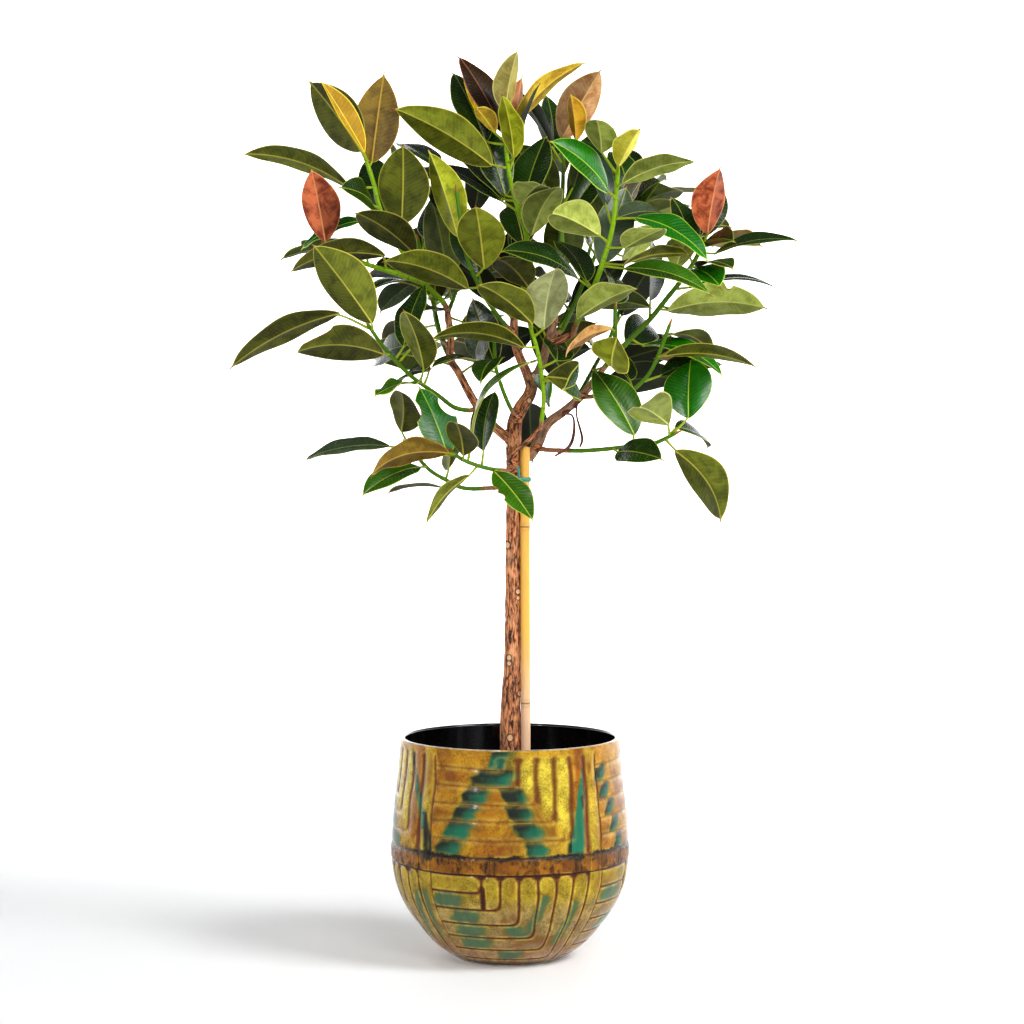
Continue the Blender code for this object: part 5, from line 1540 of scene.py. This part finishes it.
            (-136, 659, -138, 711, -1, 92, 52, -52, 5, "mature", "shadedOlive"),
            (-80, 589, -155, 582, 1, 98, 32, -12, 6, "plain", "shadedOlive"),
            (-76, 614, -84, 668, 1, 90, 44, -42, 5, "plain", "olive"),
        ],
    },
    "shoot_back_low_left": {
        "collar": 8, "radius": (3, 2.3), "more": 6,
        "lines": [
            [(-58, -5, 722), (-64, 16, 732), (-80, 62, 760), (-92, 110, 795), (-98, 145, 835)],
        ],
    },
    "shoot_back_low": {
        "collar": 11, "radius": (3.1, 2.3), "more": 6,
        "lines": [
            [(24, 12, 706), (23, 30, 714), (14, 78, 745), (4, 125, 785), (0, 160, 835)],
        ],
    },
    "shoot_back_low_right": {
        "collar": 9, "radius": (3, 2.3), "more": 6,
        "lines": [
            [(78, 9, 694), (84, 24, 702), (104, 66, 738), (126, 108, 780), (142, 138, 828)],
        ],
    },
    "shoot_back_left": {
        "collar": 8, "radius": (2.9, 2.3), "more": 6,
        "lines": [
            [(-76, 11, 792), (-78, 28, 804), (-62, 66, 850), (-50, 100, 905), (-44, 118, 950)],
        ],
    },
    "shoot_back_centre": {
        "collar": 9, "radius": (2.9, 2.2), "more": 6,
        "lines": [
            [(8, 18, 765), (8, 34, 778), (6, 70, 830), (0, 104, 895), (-4, 122, 960)],
        ],
    },
    "shoot_back_right": {
        "collar": 8, "radius": (3, 2.3), "more": 5,
        "lines": [
            [(44, 8, 760), (50, 22, 768), (70, 62, 806), (92, 106, 860), (106, 134, 915)],
        ],
    },
}


def spreadLines(shoot):
    start = shoot["lines"][0][0][1]
    return [
        [seenAt(x, start + (depth - start) * leafForm["depthSpread"], z) for x, depth, z in line]
        for line in shoot["lines"]
    ]


def collarLine(shoot):
    # from the wood's middle line to the face where the shoot begins
    if "limb" in shoot:
        return limbLine(wood["limbs"][shoot["limb"]])[0][-2:]
    foot, ahead = spreadLines(shoot)[0][:2]
    return [foot, foot + (ahead - foot).normalized() * shoot["collar"] * mm]


def shootLines(shoot):
    lines = spreadLines(shoot)
    foot, face = collarLine(shoot)
    ahead = (face - foot).normalized()
    start = face + ahead * leafForm["clearance"] * mm
    lines[0] = [start, start + ahead * 4 * mm, *lines[0][1:]]
    return lines


def nearestOn(lines, base):
    best = None
    low, high = leafForm["rootShares"]
    for line in lines:
        for a, b in zip(line, line[1:]):
            along = b - a
            flat = Vector((along.x, along.z))
            t = Vector((base.x - a.x, base.z - a.z)).dot(flat) / max(flat.length_squared, 1e-12)
            point = a + along * min(max(t, low), high)
            miss = Vector((base.x - point.x, base.z - point.z)).length
            if best is None or miss < best[0]:
                best = (miss, point, along.normalized())
    return best[1], best[2]


def seenLeaf(row, lines):
    baseX, baseZ, tipX, tipZ, sense, length, width, roll, arch, form, kind = row
    depthGuess = 0
    for _ in range(2):
        root, along = nearestOn(lines, seenAt(baseX, depthGuess, baseZ))
        depthGuess = root.y / mm + leafForm["baseDepth"] * sense
    root = root - along * leafForm["rootBack"] * mm
    base = seenAt(baseX, depthGuess, baseZ)
    seenLength = math.hypot(tipX - baseX, tipZ - baseZ)
    tip = seenAt(tipX, depthGuess + sense * math.sqrt(max(length ** 2 - seenLength ** 2, 0)), tipZ)
    axis = (tip - base).normalized()
    front = Vector((0, -1, 0))
    upward = axis.cross(front).normalized()
    if upward.z < -0.05 or (abs(upward.z) <= 0.05 and upward.x * base.x > 0):
        upward = -upward
    front = (front - axis * front.dot(axis)).normalized()
    face = upward * math.cos(math.radians(roll)) + front * math.sin(math.radians(roll))
    return {"root": root, "base": base, "tip": tip, "face": face, "width": width * mm, "arch": arch * mm,
            "form": form, "kind": kind}


def ruleLeaf(line, t, turn, spread, length, width, arch):
    place = t * (len(line) - 1)
    k = min(int(place), len(line) - 2)
    root = line[k].lerp(line[k + 1], place - k)
    along = (line[k + 1] - line[k]).normalized()
    away = (Vector((0, 1, 0)) - along * along.y).normalized()
    outward = away * math.cos(turn) + along.cross(away) * math.sin(turn)
    direction = (along * math.cos(spread) + outward * math.sin(spread)).normalized()
    base = root + direction * leafRule["stalk"] * mm
    tip = base + (direction - Vector((0, 0, leafRule["droop"]))).normalized() * length * mm
    axis = (tip - base).normalized()
    face = (along - axis * along.dot(axis)).normalized()
    return {"root": root, "base": base, "tip": tip, "face": face, "width": width * mm, "arch": arch * mm,
            "form": "plain", "kind": None}


def ruleChoices(line, count, turnedAway, draw):
    choices = []
    for i in range(count):
        t = leafRule["first"] + (leafRule["last"] - leafRule["first"]) * (i + 0.5) / count
        turn = leafRule["goldenTurn"] * i + draw.uniform(*leafRule["turnDraw"])
        if turnedAway:
            turn = leafRule["away"] * math.sin(math.radians(turn))
        wide, narrow = leafRule["spread"]
        spread = math.radians(wide + (narrow - wide) * t + draw.uniform(*leafRule["spreadDraw"]))
        long, short = leafRule["length"]
        length = (long + (short - long) * t) * draw.uniform(*leafRule["lengthDraw"])
        width = length * draw.uniform(*leafRule["widthDraw"])
        arch = draw.uniform(*leafRule["archDraw"])
        turned = [
            ruleLeaf(line, t, math.radians(turn + other), spread, length, width, arch)
            for other in leafRule["otherTurns"]
        ]
        choices.append(sorted(turned, key=lambda leaf: leaf["tip"].z < leafRule["lowest"] * mm))
    return choices


def outlineWidth(u):
    # half the width of a packed blade, as a share of its full width
    if u >= 1:
        return 0
    body = math.sin(math.pi * min(u / leafForm["bodyEnd"], 1) ** leafForm["bodyLean"])
    return 0.5 * max(max(body, 0) ** leafForm["bodyRound"], 0.3 * (1 - u))


def leafRings(leaf, swell=0.0):
    base, tip, face = leaf["base"], leaf["tip"], leaf["face"]
    axis = (tip - base).normalized()
    stalk = (base - leaf["root"]).normalized()
    radius = leafForm["stalkRadius"] * mm + swell
    rings = []
    for centre, ahead in ((leaf["root"], stalk), (base, axis)):
        up = (face - ahead * face.dot(ahead)).normalized()
        side = ahead.cross(up)
        rings.append([centre + corner * radius for corner in (side, up, -side, -up)])
    fold = math.radians(leafForm["fold"][leaf["form"]])
    for u in leafForm["stations"][leaf["form"]]:
        centre = base.lerp(tip, u) + face * leaf["arch"] * 4 * u * (1 - u)
        ahead = (tip - base + face * leaf["arch"] * 4 * (1 - 2 * u)).normalized()
        up = (face - ahead * face.dot(ahead)).normalized()
        side = ahead.cross(up)
        half = outlineWidth(u) * leaf["width"] + swell
        lift = up * half * math.sin(fold)
        reach = side * half * math.cos(fold)
        rib = up * (leafForm["ribThickness"] * mm / 2 + swell)
        rings.append([centre + reach + lift, centre + rib, centre - reach + lift, centre - rib])
    rings.append([tip.copy()])
    return rings


def tubeRings(line, radii, sides):
    rings = []
    for (_, side, up), centre, radius in zip(carried(line), line, radii):
        turns = [math.tau * k / sides for k in range(sides)]
        rings.append([centre + (side * math.cos(a) + up * math.sin(a)) * radius for a in turns])
    return rings


def treeOf(rings):
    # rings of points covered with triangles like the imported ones, to test whether two leaves would cross
    bm = bmesh.new()
    loops = [[bm.verts.new(point) for point in ring] for ring in rings]
    sides = len(loops[0])
    for near, far in zip(loops, loops[1:]):
        for i in range(sides):
            j = (i + 1) % sides
            if len(far) == 1:
                bm.faces.new((near[i], near[j], far[0]))
            elif i % 2 == 0:
                bm.faces.new((near[i], near[j], far[j]))
                bm.faces.new((near[i], far[j], far[i]))
            else:
                bm.faces.new((near[i], near[j], far[i]))
                bm.faces.new((near[j], far[j], far[i]))
    bm.faces.new(list(reversed(loops[0])))
    if len(loops[-1]) > 1:
        bm.faces.new(loops[-1])
    bmesh.ops.triangulate(bm, faces=bm.faces)
    tree = BVHTree.FromBMesh(bm)
    bm.free()
    return tree


def boxOf(rings):
    points = [point for ring in rings for point in ring]
    low = Vector(min(point[axis] for point in points) for axis in range(3))
    high = Vector(max(point[axis] for point in points) for axis in range(3))
    return low, high


def boxesMeet(a, b):
    return all(a[0][axis] <= b[1][axis] and b[0][axis] <= a[1][axis] for axis in range(3))


def entry(shootName, rings, outer=None):
    return {"shoot": shootName, "tree": treeOf(rings), "box": boxOf(rings), "blade": treeOf(outer or rings)}


def outerPart(rings):
    middle = [(a + b) / 2 for a, b in zip(rings[0], rings[1])]
    return [middle, *rings[1:]]


def nudges():
    tried = []
    for depth in leafRule["depths"]:
        for arch in leafRule["arches"]:
            for rise in leafRule["rises"]:
                cost = abs(depth) + leafRule["archCost"] * abs(arch) + leafRule["riseCost"] * abs(rise)
                tried.append((cost, depth * mm, arch * mm, rise * mm))
    return [change[1:] for change in sorted(tried)]


def settle(leaf, shootName, placed, changes):
    # bend a leaf until it is clear of the other shoots, and of its own shoot's blades if it can be
    fallback = None
    for depth, arch, rise in changes:
        bent = dict(leaf)
        bent["base"] = leaf["base"] + Vector((0, depth, rise)) * leafRule["baseShare"]
        bent["tip"] = leaf["tip"] + Vector((0, depth, rise))
        bent["arch"] = leaf["arch"] + arch
        axis = (bent["tip"] - bent["base"]).normalized()
        bent["face"] = (leaf["face"] - axis * leaf["face"].dot(axis)).normalized()
        rings = leafRings(bent, leafRule["room"] * mm)
        box = boxOf(rings)
        near = [other for other in placed if boxesMeet(box, other["box"])]
        tree = treeOf(rings)
        if any(other["shoot"] != shootName and tree.overlap(other["tree"]) for other in near):
            continue
        outer = treeOf(outerPart(rings))
        if any(other["shoot"] == shootName and outer.overlap(other["blade"]) for other in near):
            fallback = fallback or bent
            continue
        return bent, True
    return fallback, False


def settleChoice(leaves, shootName, placed):
    changes = nudges()
    if len(leaves) > 1:
        changes = changes[:leafRule["few"]]
    fallback = None
    for leaf in leaves:
        bent, clear = settle(leaf, shootName, placed, changes)
        if clear:
            return bent
        fallback = fallback or bent
    return fallback


def budLine(line):
    ahead = (line[-1] - line[-2]).normalized()
    return [*line, line[-1] + ahead * leafForm["budLength"] * mm]


def shootRadii(shoot, line):
    foot, tip = shoot["radius"]
    count = len(line)
    radii = [(foot + (tip - foot) * i / (count - 1)) * mm for i in range(count)]
    return [*radii, leafForm["budRadius"] * mm]


def woodRings():
    limbs = [(wood["trunk"], wood["trunkSides"])]
    limbs += [(limb, wood["limbSides"]) for limb in wood["limbs"]]
    limbs += [(root, wood["rootSides"]) for root in wood["dryRoots"]]
    rings = [tubeRings(*limbLine(limb), sides) for limb, sides in limbs]
    for shoot in shoots.values():
        if "collar" in shoot:
            radius = (shoot["radius"][0] + wood["collarExtra"]) * mm
            rings.append(tubeRings(collarLine(shoot), [radius] * 2, leafForm["shootSides"]))
    return rings


def placeLeaves():
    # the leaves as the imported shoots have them, those that are seen first and then those set by rule
    draw = random.Random(leafRule["seed"])
    placed = [entry("trunk", rings) for rings in woodRings()]
    for name in ("cane", "tie"):
        bm = bmesh.new()
        bm.from_mesh(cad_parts[name].data)
        tree = BVHTree.FromBMesh(bm)
        points = [[vert.co.copy() for vert in bm.verts]]
        placed.append({"shoot": name, "tree": tree, "box": boxOf(points), "blade": tree})
        bm.free()
    for name, shoot in shoots.items():
        for line in shootLines(shoot):
            rings = tubeRings(budLine(line), shootRadii(shoot, line), leafForm["shootSides"])
            placed.append(entry(name, rings))
    settled = {name: [] for name in shoots}
    for stage in ("seen", "rule"):
        for name, shoot in shoots.items():
            lines = shootLines(shoot)
            if stage == "seen":
                choices = [[seenLeaf(row, lines)] for row in shoot.get("leaves", ())]
            else:
                choices = ruleChoices(lines[0], shoot["more"], "leaves" in shoot, draw)
            for choice in choices:
                leaf = settleChoice(choice, name, placed)
                if leaf is None:
                    continue
                rings = leafRings(leaf)
                placed.append(entry(name, rings, outerPart(rings)))
                settled[name].append(leaf)
    return settled


def bladeTemplate():
    # one blade with two faces and a rim, and one stalk; every point keeps its own place on the leaf
    rows, columns = blade["rows"], 2 * (len(blade["across"]) - 1)
    piece, _, _ = gridSheet("leafTemplate", rows, columns)
    for material in leafMaterials:
        piece.data.materials.append(material)
    applyModifier(piece, "SOLIDIFY", thickness=0.1, offset=0, material_offset=1, material_offset_rim=1)
    flat = meshPoints(piece)
    u = np.rint((flat[:, 0] + 0.5) * rows) / rows
    column = np.rint((flat[:, 1] + 0.5) * columns).astype(int) - columns // 2
    across = np.array(blade["across"])[np.abs(column)] * np.sign(column)
    storeNumbers(piece, "u", u)
    storeNumbers(piece, "v", across)
    storeNumbers(piece, "face", np.sign(flat[:, 2]))
    stalk, row, column = gridSheet("stalkTemplate", blade["stalkRows"], blade["stalkSides"])
    storeNumbers(stalk, "u", row / blade["stalkRows"])
    storeNumbers(stalk, "v", column / blade["stalkSides"])
    storeNumbers(stalk, "face", np.zeros(len(row)))
    stalk.data.materials.append(leafMaterials[2])
    # the stalk is wrapped here, so that its seam can be closed once for all the leaves
    turn = column / blade["stalkSides"] * math.tau
    radius = np.where((row == 0) | (row == blade["stalkRows"]), 0, 1)
    layPoints(stalk, np.stack([row, radius * np.cos(turn), radius * np.sin(turn)], 1))
    closeSeams(stalk)
    return joinPieces([piece, stalk])


def stored(mesh, name):
    values = np.empty(len(mesh.vertices))
    mesh.attributes[name].data.foreach_get("value", values)
    return values


def unit(vectors):
    return vectors / np.maximum(np.linalg.norm(vectors, axis=1), 1e-12)[:, None]


def halfWidth(u, width):
    # half of the blade's width: an ellipse that ends in a narrow drip tip
    arc = np.sin(np.pi * np.clip(u / leafForm["bodyEnd"], 0, 1) ** leafForm["bodyLean"])
    body = np.clip(arc, 0, 1) ** leafForm["bodyRound"] * 0.5 * width
    start = 1.3 * mm * (1 - ease(u, 0.0, 0.1))
    tip = ease(u, 0.7, 0.93) * (0.42 * mm + 1.7 * mm * np.clip(1 - u, 0, 1) / 0.12)
    return np.maximum(np.maximum(body, start), tip)


def shapeLeaf(piece, leaf, mark, draw):
    mesh = piece.data
    u, v, side = (stored(mesh, name) for name in ("u", "v", "face"))
    onBlade = side != 0
    base, tip, face = (np.array(leaf[name]) for name in ("base", "tip", "face"))
    length = np.linalg.norm(tip - base)
    arch = leaf["arch"]
    fold = math.radians(leafForm["fold"][leaf["form"]])
    # the middle line
    centre = base + (tip - base) * u[:, None] + face * (arch * 4 * u * (1 - u))[:, None]
    ahead = unit((tip - base) + face * (arch * 4 * (1 - 2 * u))[:, None])
    up = unit(face - ahead * (ahead @ face)[:, None])
    twist = math.radians(draw.uniform(*blade["twist"])) * (u - 0.4) * 2
    sideways = np.cross(ahead, up)
    sideTurned = sideways * np.cos(twist)[:, None] + up * np.sin(twist)[:, None]
    upTurned = up * np.cos(twist)[:, None] - sideways * np.sin(twist)[:, None]
    # the blade's width, with its bites
    half = halfWidth(u, leaf["width"])
    share = np.ones_like(u)
    for middle, which, reach, depth in mark.get("bites", ()):
        near = np.clip(1 - ((u - middle) / reach) ** 2, 0, 1)
        share = np.where(v * which > 0, share - depth * np.sqrt(near), share)
    edge = np.abs(v)
    swell = draw.uniform(*blade["swell"]) * mark.get("swell", 1)
    waves = draw.uniform(*blade["waves"])
    phase = draw.uniform(0, math.tau)
    depth = draw.uniform(*blade["waveDepth"]) * mm * mark.get("wave", 1)
    wave = depth * edge ** 2 * np.sin(u * waves * math.tau + phase + np.sign(v) * 0.9) * ease(u, 0.02, 0.25)
    wave = wave * (1 - ease(u, 0.85, 1))
    bulge = half * 0.13 * swell * np.sin(np.pi * edge ** 0.8)
    lift = half * edge * math.sin(fold) * share + wave + bulge
    reach = half * v * share * math.cos(fold)
    thick = blade["thickness"] * mm * (1 - 0.3 * edge ** 4) / 2
    fromRib = np.abs(half * v) / (blade["ribWidth"] * mm * (1.15 - 0.6 * u))
    rib = np.exp(-fromRib ** 2) * (1 - 0.75 * u)
    height = lift + side * thick - np.where(side < 0, rib * blade["ribRise"] * mm, -rib * 0.12 * mm)
    hookDepth = draw.uniform(*blade["hook"]) * blade["tipHook"] * mm * mark.get("hook", 1)
    hook = -ease(u, 0.9, 1.0) ** 2 * hookDepth
    points = centre + sideTurned * reach[:, None] + upTurned * (height + hook)[:, None]
    # the stalk bends from the shoot into the rib under the blade
    root = np.array(leaf["root"])
    axis = (tip - base) / length
    start = unit((face - axis * (axis @ face))[None, :])[0]
    entryAt = base + axis * 0.05 * length + face * (arch * 4 * 0.05 * 0.95) - start * 0.55 * mm
    bendAt = base - axis * 1.5 * mm
    t = u[:, None]
    curve = root * (1 - t) ** 2 + bendAt * 2 * t * (1 - t) + entryAt * t ** 2
    along = unit((bendAt - root) * (1 - t) + (entryAt - bendAt) * t)
    first = unit(start[None, :] - along * (along @ start)[:, None])
    second = np.cross(along, first)
    thickest, thinner, foot = blade["stalkRadius"]
    radius = (thickest - thinner * u + foot * (1 - ease(u, 0, 0.2))) * mm
    radius = np.where((u == 0) | (u == 1), 0, radius)
    turn = v * math.tau
    stalk = curve + radius[:, None] * (first * np.cos(turn)[:, None] + second * np.sin(turn)[:, None])
    points = np.where(onBlade[:, None], points, stalk)
    layPoints(piece, points)
    # what the finishes read
    top, back, patch, ribTone = (np.array(tone(*colour)) for colour in leafKinds[leaf["kind"]])
    # one half of the blade is painted lighter, as if lit, and the other half painted darker, as if in shade
    lean = draw.choice((-1, 1)) * np.clip(v * 14, -1, 1)
    if "redShadedHalf" in mark:
        # the half on the right is redder and painted darker, as painted shade, and the left half is painted
        # lighter, as painted light
        right = ease(v * np.sign(sideways[:, 0].mean()), -0.06, 0.06)
        back = blend(np.broadcast_to(back, (len(u), 3)), patch * (0.9, 0.6, 1), right)
        patch = back * (0.9 - 0.3 * right)[:, None]
        lean = 0.3 - 0.6 * right
    light = (draw.uniform(*blade["light"]) * (1 + np.where(side > 0, *blade["litAndShadedHalves"]) * lean))[:, None]
    onTop = (side > 0)[:, None]
    faceTone = np.where(onTop, top, back) * light
    storeColours(piece, "colour", np.where(onBlade[:, None], faceTone, tone(*stems["stalkGreen"])))
    storeColours(piece, "patch", np.where(onTop, top * 0.75, patch) * light)
    storeColours(piece, "rib", np.broadcast_to(ribTone, (len(u), 3)))
    storeNumbers(piece, "leafPlace", np.stack([u * length, half * v, np.zeros_like(u)], 1) / mm)
    rim = half * (1 - edge) / mm
    seed = draw.uniform(0, 50)
    tipDry = mark.get("dryTip", draw.uniform(*blade["dryTip"]))
    storeNumbers(piece, "leafFacts", np.stack([u, rim, np.full_like(u, seed)], 1))
    storeNumbers(piece, "stemFacts", np.zeros((len(u), 3)))
    bitten = np.zeros_like(u)
    for middle, which, reach, _ in mark.get("bites", ()):
        near = np.clip(1.25 - np.abs((u - middle) / reach), 0, 1)
        bitten = np.where(v * which > 0, np.maximum(bitten, near * ease(edge, 0.82, 1)), bitten)
    storeNumbers(piece, "dryness", np.maximum(ease(u, 0.985 - tipDry, 1.0 - 0.5 * tipDry), bitten))


leafFinish = {
    # side veins and finer ones: how far apart in mm, and how much they slant
    "veins": (5.2, 0.55),
    "fineVeins": (1.9, 0.6),
    "veinTone": 0.05,
    "rimTone": 0.8,
    "ribTone": 0.9,
    "dryTones": (tone(70, 38, 20), tone(176, 96, 40)),
    # rib's half width in mm, share of specks and veins in the tone, roughness with its share of clouds and
    # specks, shine, height of the veins and the specks, depth in metres and strength of the unevenness
    "leafTop": (0.7, 0.3, 0.04, 0.17, 0.12, 0.05, 0.3, -0.6, 0.2, 0.0005, 0.5),
    "leafBack": (0.95, 0.34, 0.03, 0.46, 0.16, 0.0, 0.12, 0.4, 0.4, 0.0004, 0.4),
}


def leafFaceFinish(name):
    (ribHalf, speckTone, veinShade, rough, cloudRough, speckRough, shine,
     veinRise, speckRise, depth, strength) = leafFinish[name]
    leafy = Finish(name)
    along, across, _ = leafy.parts(leafy.stored("leafPlace", "Vector"))
    u, rim, seed = leafy.parts(leafy.stored("leafFacts", "Vector"))
    ribTone = leafy.stored("rib", "Color")
    shifted = leafy.join(along, across, seed * 40)
    wobble = leafy.cloud(shifted, 0.09, 2, 0.5)

    def wavesOf(step, slant, unevenness):
        return ((along - slant * across.size() + unevenness * wobble) * (math.tau / step)).sine()

    # side veins leave the rib at a slant and curve towards the tip
    veins = wavesOf(*leafFinish["veins"], 5)
    fine = wavesOf(*leafFinish["fineVeins"], 3)
    vein = veins.rise(0.72, 1.0)
    cloudy = leafy.cloud(shifted, 0.055, 4, 0.6, 0.6)
    speck = leafy.cloud(shifted, 0.9, 2, 0.6)
    mottle = cloudy.rise(0.34, 0.64) + 0.35 * (leafy.cloud(shifted, 0.24, 4, 0.65) - 0.5)
    colour = leafy.mix(mottle, leafy.stored("patch", "Color"), leafy.stored("colour", "Color"))
    colour = leafy.tint(colour, 0.84 + speckTone * speck + veinShade * veins)
    colour = leafy.mix(vein * leafFinish["veinTone"], colour, ribTone)
    colour = leafy.mix(rim.rise(1.5, 0.6) * leafFinish["rimTone"], colour, ribTone)
    ribMask = across.size().rise(ribHalf * 1.35, ribHalf * 0.75) * (1.0 - 0.5 * u)
    colour = leafy.mix(ribMask * leafFinish["ribTone"], colour, ribTone)
    dry = leafy.stored("dryness").rise(0.2, 0.7)
    colour = leafy.mix(dry, colour, leafy.mix(speck, *leafFinish["dryTones"]))
    leafy.set(colour=colour, roughness=rough + cloudRough * cloudy + speckRough * speck, shine=shine)
    leafy.bump(veinRise * vein + 0.15 * fine + speckRise * speck, depth, strength)
    return leafy.material


def stemFinish():
    stem = Finish("greenStem")
    place = stem.place()
    _, ring, age = stem.parts(stem.stored("stemFacts", "Vector"))
    grain = stem.cloud(place, 240, 4, 0.65)
    fine = stem.cloud(place, 900, 2, 0.6)
    colour = stem.tint(stem.stored("colour", "Color"), 0.74 + 0.5 * grain)
    woody = (age + 0.5 * (grain - 0.5)).rise(0.35, 0.75)
    colour = stem.mix(woody, colour, stem.mix(fine.rise(0.35, 0.65), *stems["woodyTones"]))
    spots = stem.cloud(place, 110, 3, 0.7).rise(0.62, 0.7)
    colour = stem.mix(spots * 0.55, colour, stems["spot"])
    colour = stem.mix(ring.rise(0.35, 0.9) * 0.75, colour, stems["scar"])
    stem.set(colour=colour, roughness=0.42 + 0.2 * grain, shine=0.12)
    stem.bump(grain + 0.4 * fine, 0.0007, 0.5)
    return stem.material


stems = {
    "sides": 14,
    "step": 1.6,
    "smoothSteps": 8,
    "scarEvery": (11, 19),
    "scarEnd": 16,
    "scarReach": 0.9,
    "scarRise": 0.35,
    "stalkGreen": (140, 158, 26),
    "green": (70, 112, 8),
    "bright": (122, 164, 10),
    "sheath": (152, 92, 40),
    "seed": 8,
    # the shoots whose stems are bright, and those whose lower part is woody, with how far in mm
    "brightShoots": ("shoot_right_front", "shoot_front", "shoot_centre_top", "shoot_upper_left"),
    "woody": {"shoot_low_right": 60, "shoot_low_left": 46, "shoot_low_front": 30, "shoot_right_low": 46,
              "shoot_centre_top": 40, "shoot_right_front": 34, "shoot_right": 30, "shoot_top_right": 36},
    "woodyElse": 16,
    "woodyTones": (tone(104, 62, 38), tone(178, 126, 88)),
    "spot": tone(120, 84, 40),
    "scar": tone(110, 86, 40),
}
leafMaterials = [leafFaceFinish("leafTop"), leafFaceFinish("leafBack"), stemFinish()]

# What single leaves show beside their kind: bites (middle, side, reach along, depth across), dry tips, waves.
leafMarks = {
    ("shoot_left", 2): {"bites": [(0.72, -1, 0.16, 0.3)], "hook": 2},
    ("shoot_left", 5): {"wave": 3},
    ("shoot_right", 8): {"bites": [(0.6, 1, 0.03, 0.3)]},
    ("shoot_low_front", 0): {"bites": [(0.6, 1, 0.15, 0.42), (0.64, -1, 0.13, 0.34)],
                             "wave": 2.4, "swell": 2},
    ("shoot_low_front", 3): {"bites": [(0.35, 1, 0.05, 0.2), (0.5, 1, 0.05, 0.25)], "wave": 1.6},
    ("shoot_low_left", 1): {"dryTip": 0.08, "hook": 3},
    ("shoot_low_left", 3): {"dryTip": 0.08, "wave": 1.5},
    ("shoot_front", 4): {"wave": 2},
    # this leaf's right half is redder and painted darker as shade, its left half painted lighter
    ("shoot_upper_left", 1): {"redShadedHalf": True},
    ("shoot_upper_left", 3): {"hook": 1.5},
}
# leaves set by rule take mostly very dark kinds: painted shade for the inside of the crown
ruleKinds = ("paintedShade", "paintedShade", "paintedShade", "deep", "deep", "shadedOlive", "shadedOlive", "paintedShade", "grey")


def stemRod(name, number, line, radii, draw):
    # a stem with ring scars where its old leaves were, and the reddish sheath of its bud
    smooth = smoothPlaces(line, radii, stems["smoothSteps"])
    distances = [0]
    for a, b in zip(smooth, smooth[1:]):
        distances.append(distances[-1] + (b - a).to_3d().length)
    length = distances[-1]
    count = int(length / (stems["step"] * mm))
    places = []
    k = 0
    for i in range(count + 1):
        wanted = length * i / count
        while k < len(smooth) - 2 and distances[k + 1] < wanted:
            k += 1
        share = (wanted - distances[k]) / (distances[k + 1] - distances[k])
        places.append(smooth[k].lerp(smooth[k + 1], share))
    scars = []
    at = draw.uniform(*stems["scarEvery"])
    while at < length / mm - stems["scarEnd"]:
        scars.append(at)
        at += draw.uniform(*stems["scarEvery"])
    along = [length / mm * i / count for i in range(count + 1)]
    reach = stems["scarReach"]
    ring = [max([math.exp(-((s - scar) / reach) ** 2) for scar in scars] + [0]) for s in along]
    swollen = [place.w + stems["scarRise"] * mm * mark for place, mark in zip(places, ring)]
    bud = leafForm["budLength"]
    for i, s in enumerate(along):
        fromTip = max(length / mm - s, 0)
        if fromTip < bud:
            swollen[i] = (0.25 + 1.75 * math.sqrt(fromTip / bud) * (1 + 0.25 * fromTip / bud)) * mm
    piece = rod(name, [place.to_3d() for place in places], swollen, stems["sides"])
    # the rod's points keep their order along it, so each finds its distance by the nearest ring
    tree = nearestTree([place.to_3d() for place in places])
    nearest = [tree.find(vertex.co)[1] for vertex in piece.data.vertices]
    woody = stems["woody"].get(name, stems["woodyElse"]) if number == 0 else 0
    ages = [1 - min(max((s - woody * 0.4) / (woody * 0.7 + 1), 0), 1) if woody else 0 for s in along]
    bright = stems["bright"] if name in stems["brightShoots"] else stems["green"]
    green, sheath = np.array(tone(*bright)), np.array(tone(*stems["sheath"]))
    toBud = np.array([max(0, 1 - (length / mm - along[i]) / bud) for i in nearest])
    storeNumbers(piece, "stemFacts", np.array([(along[i], ring[i], ages[i]) for i in nearest]))
    greens = green[None, :].repeat(len(nearest), 0)
    storeColours(piece, "colour", blend(greens, sheath, ease(toBud, 0.05, 0.6)))
    piece.data.materials.clear()
    piece.data.materials.append(leafMaterials[2])
    return piece


def buildShoots():
    template = bladeTemplate()
    settled = placeLeaves()
    draw = random.Random(blade["seed"])
    drawStem = random.Random(stems["seed"])
    for name, shoot in shoots.items():
        parts = []
        for number, line in enumerate(shootLines(shoot)):
            parts.append(stemRod(name, number, budLine(line), shootRadii(shoot, line), drawStem))
        for number, leaf in enumerate(settled[name]):
            leaf["kind"] = leaf["kind"] or draw.choice(ruleKinds)
            copy = addObject("leaf", template.data.copy())
            shapeLeaf(copy, leaf, leafMarks.get((name, number), {}), draw)
            parts.append(copy)
        piece = joinPieces(parts)
        piece.name = name.replace("shoot_", "leafyShoot_")
        handOver(piece, name)
        print("stage:", name, len(piece.data.vertices))
    bpy.data.objects.remove(template)


buildWood()
print("stage: wood")
buildShoots()
print("stage: shoots")

bpy.context.view_layer.update()
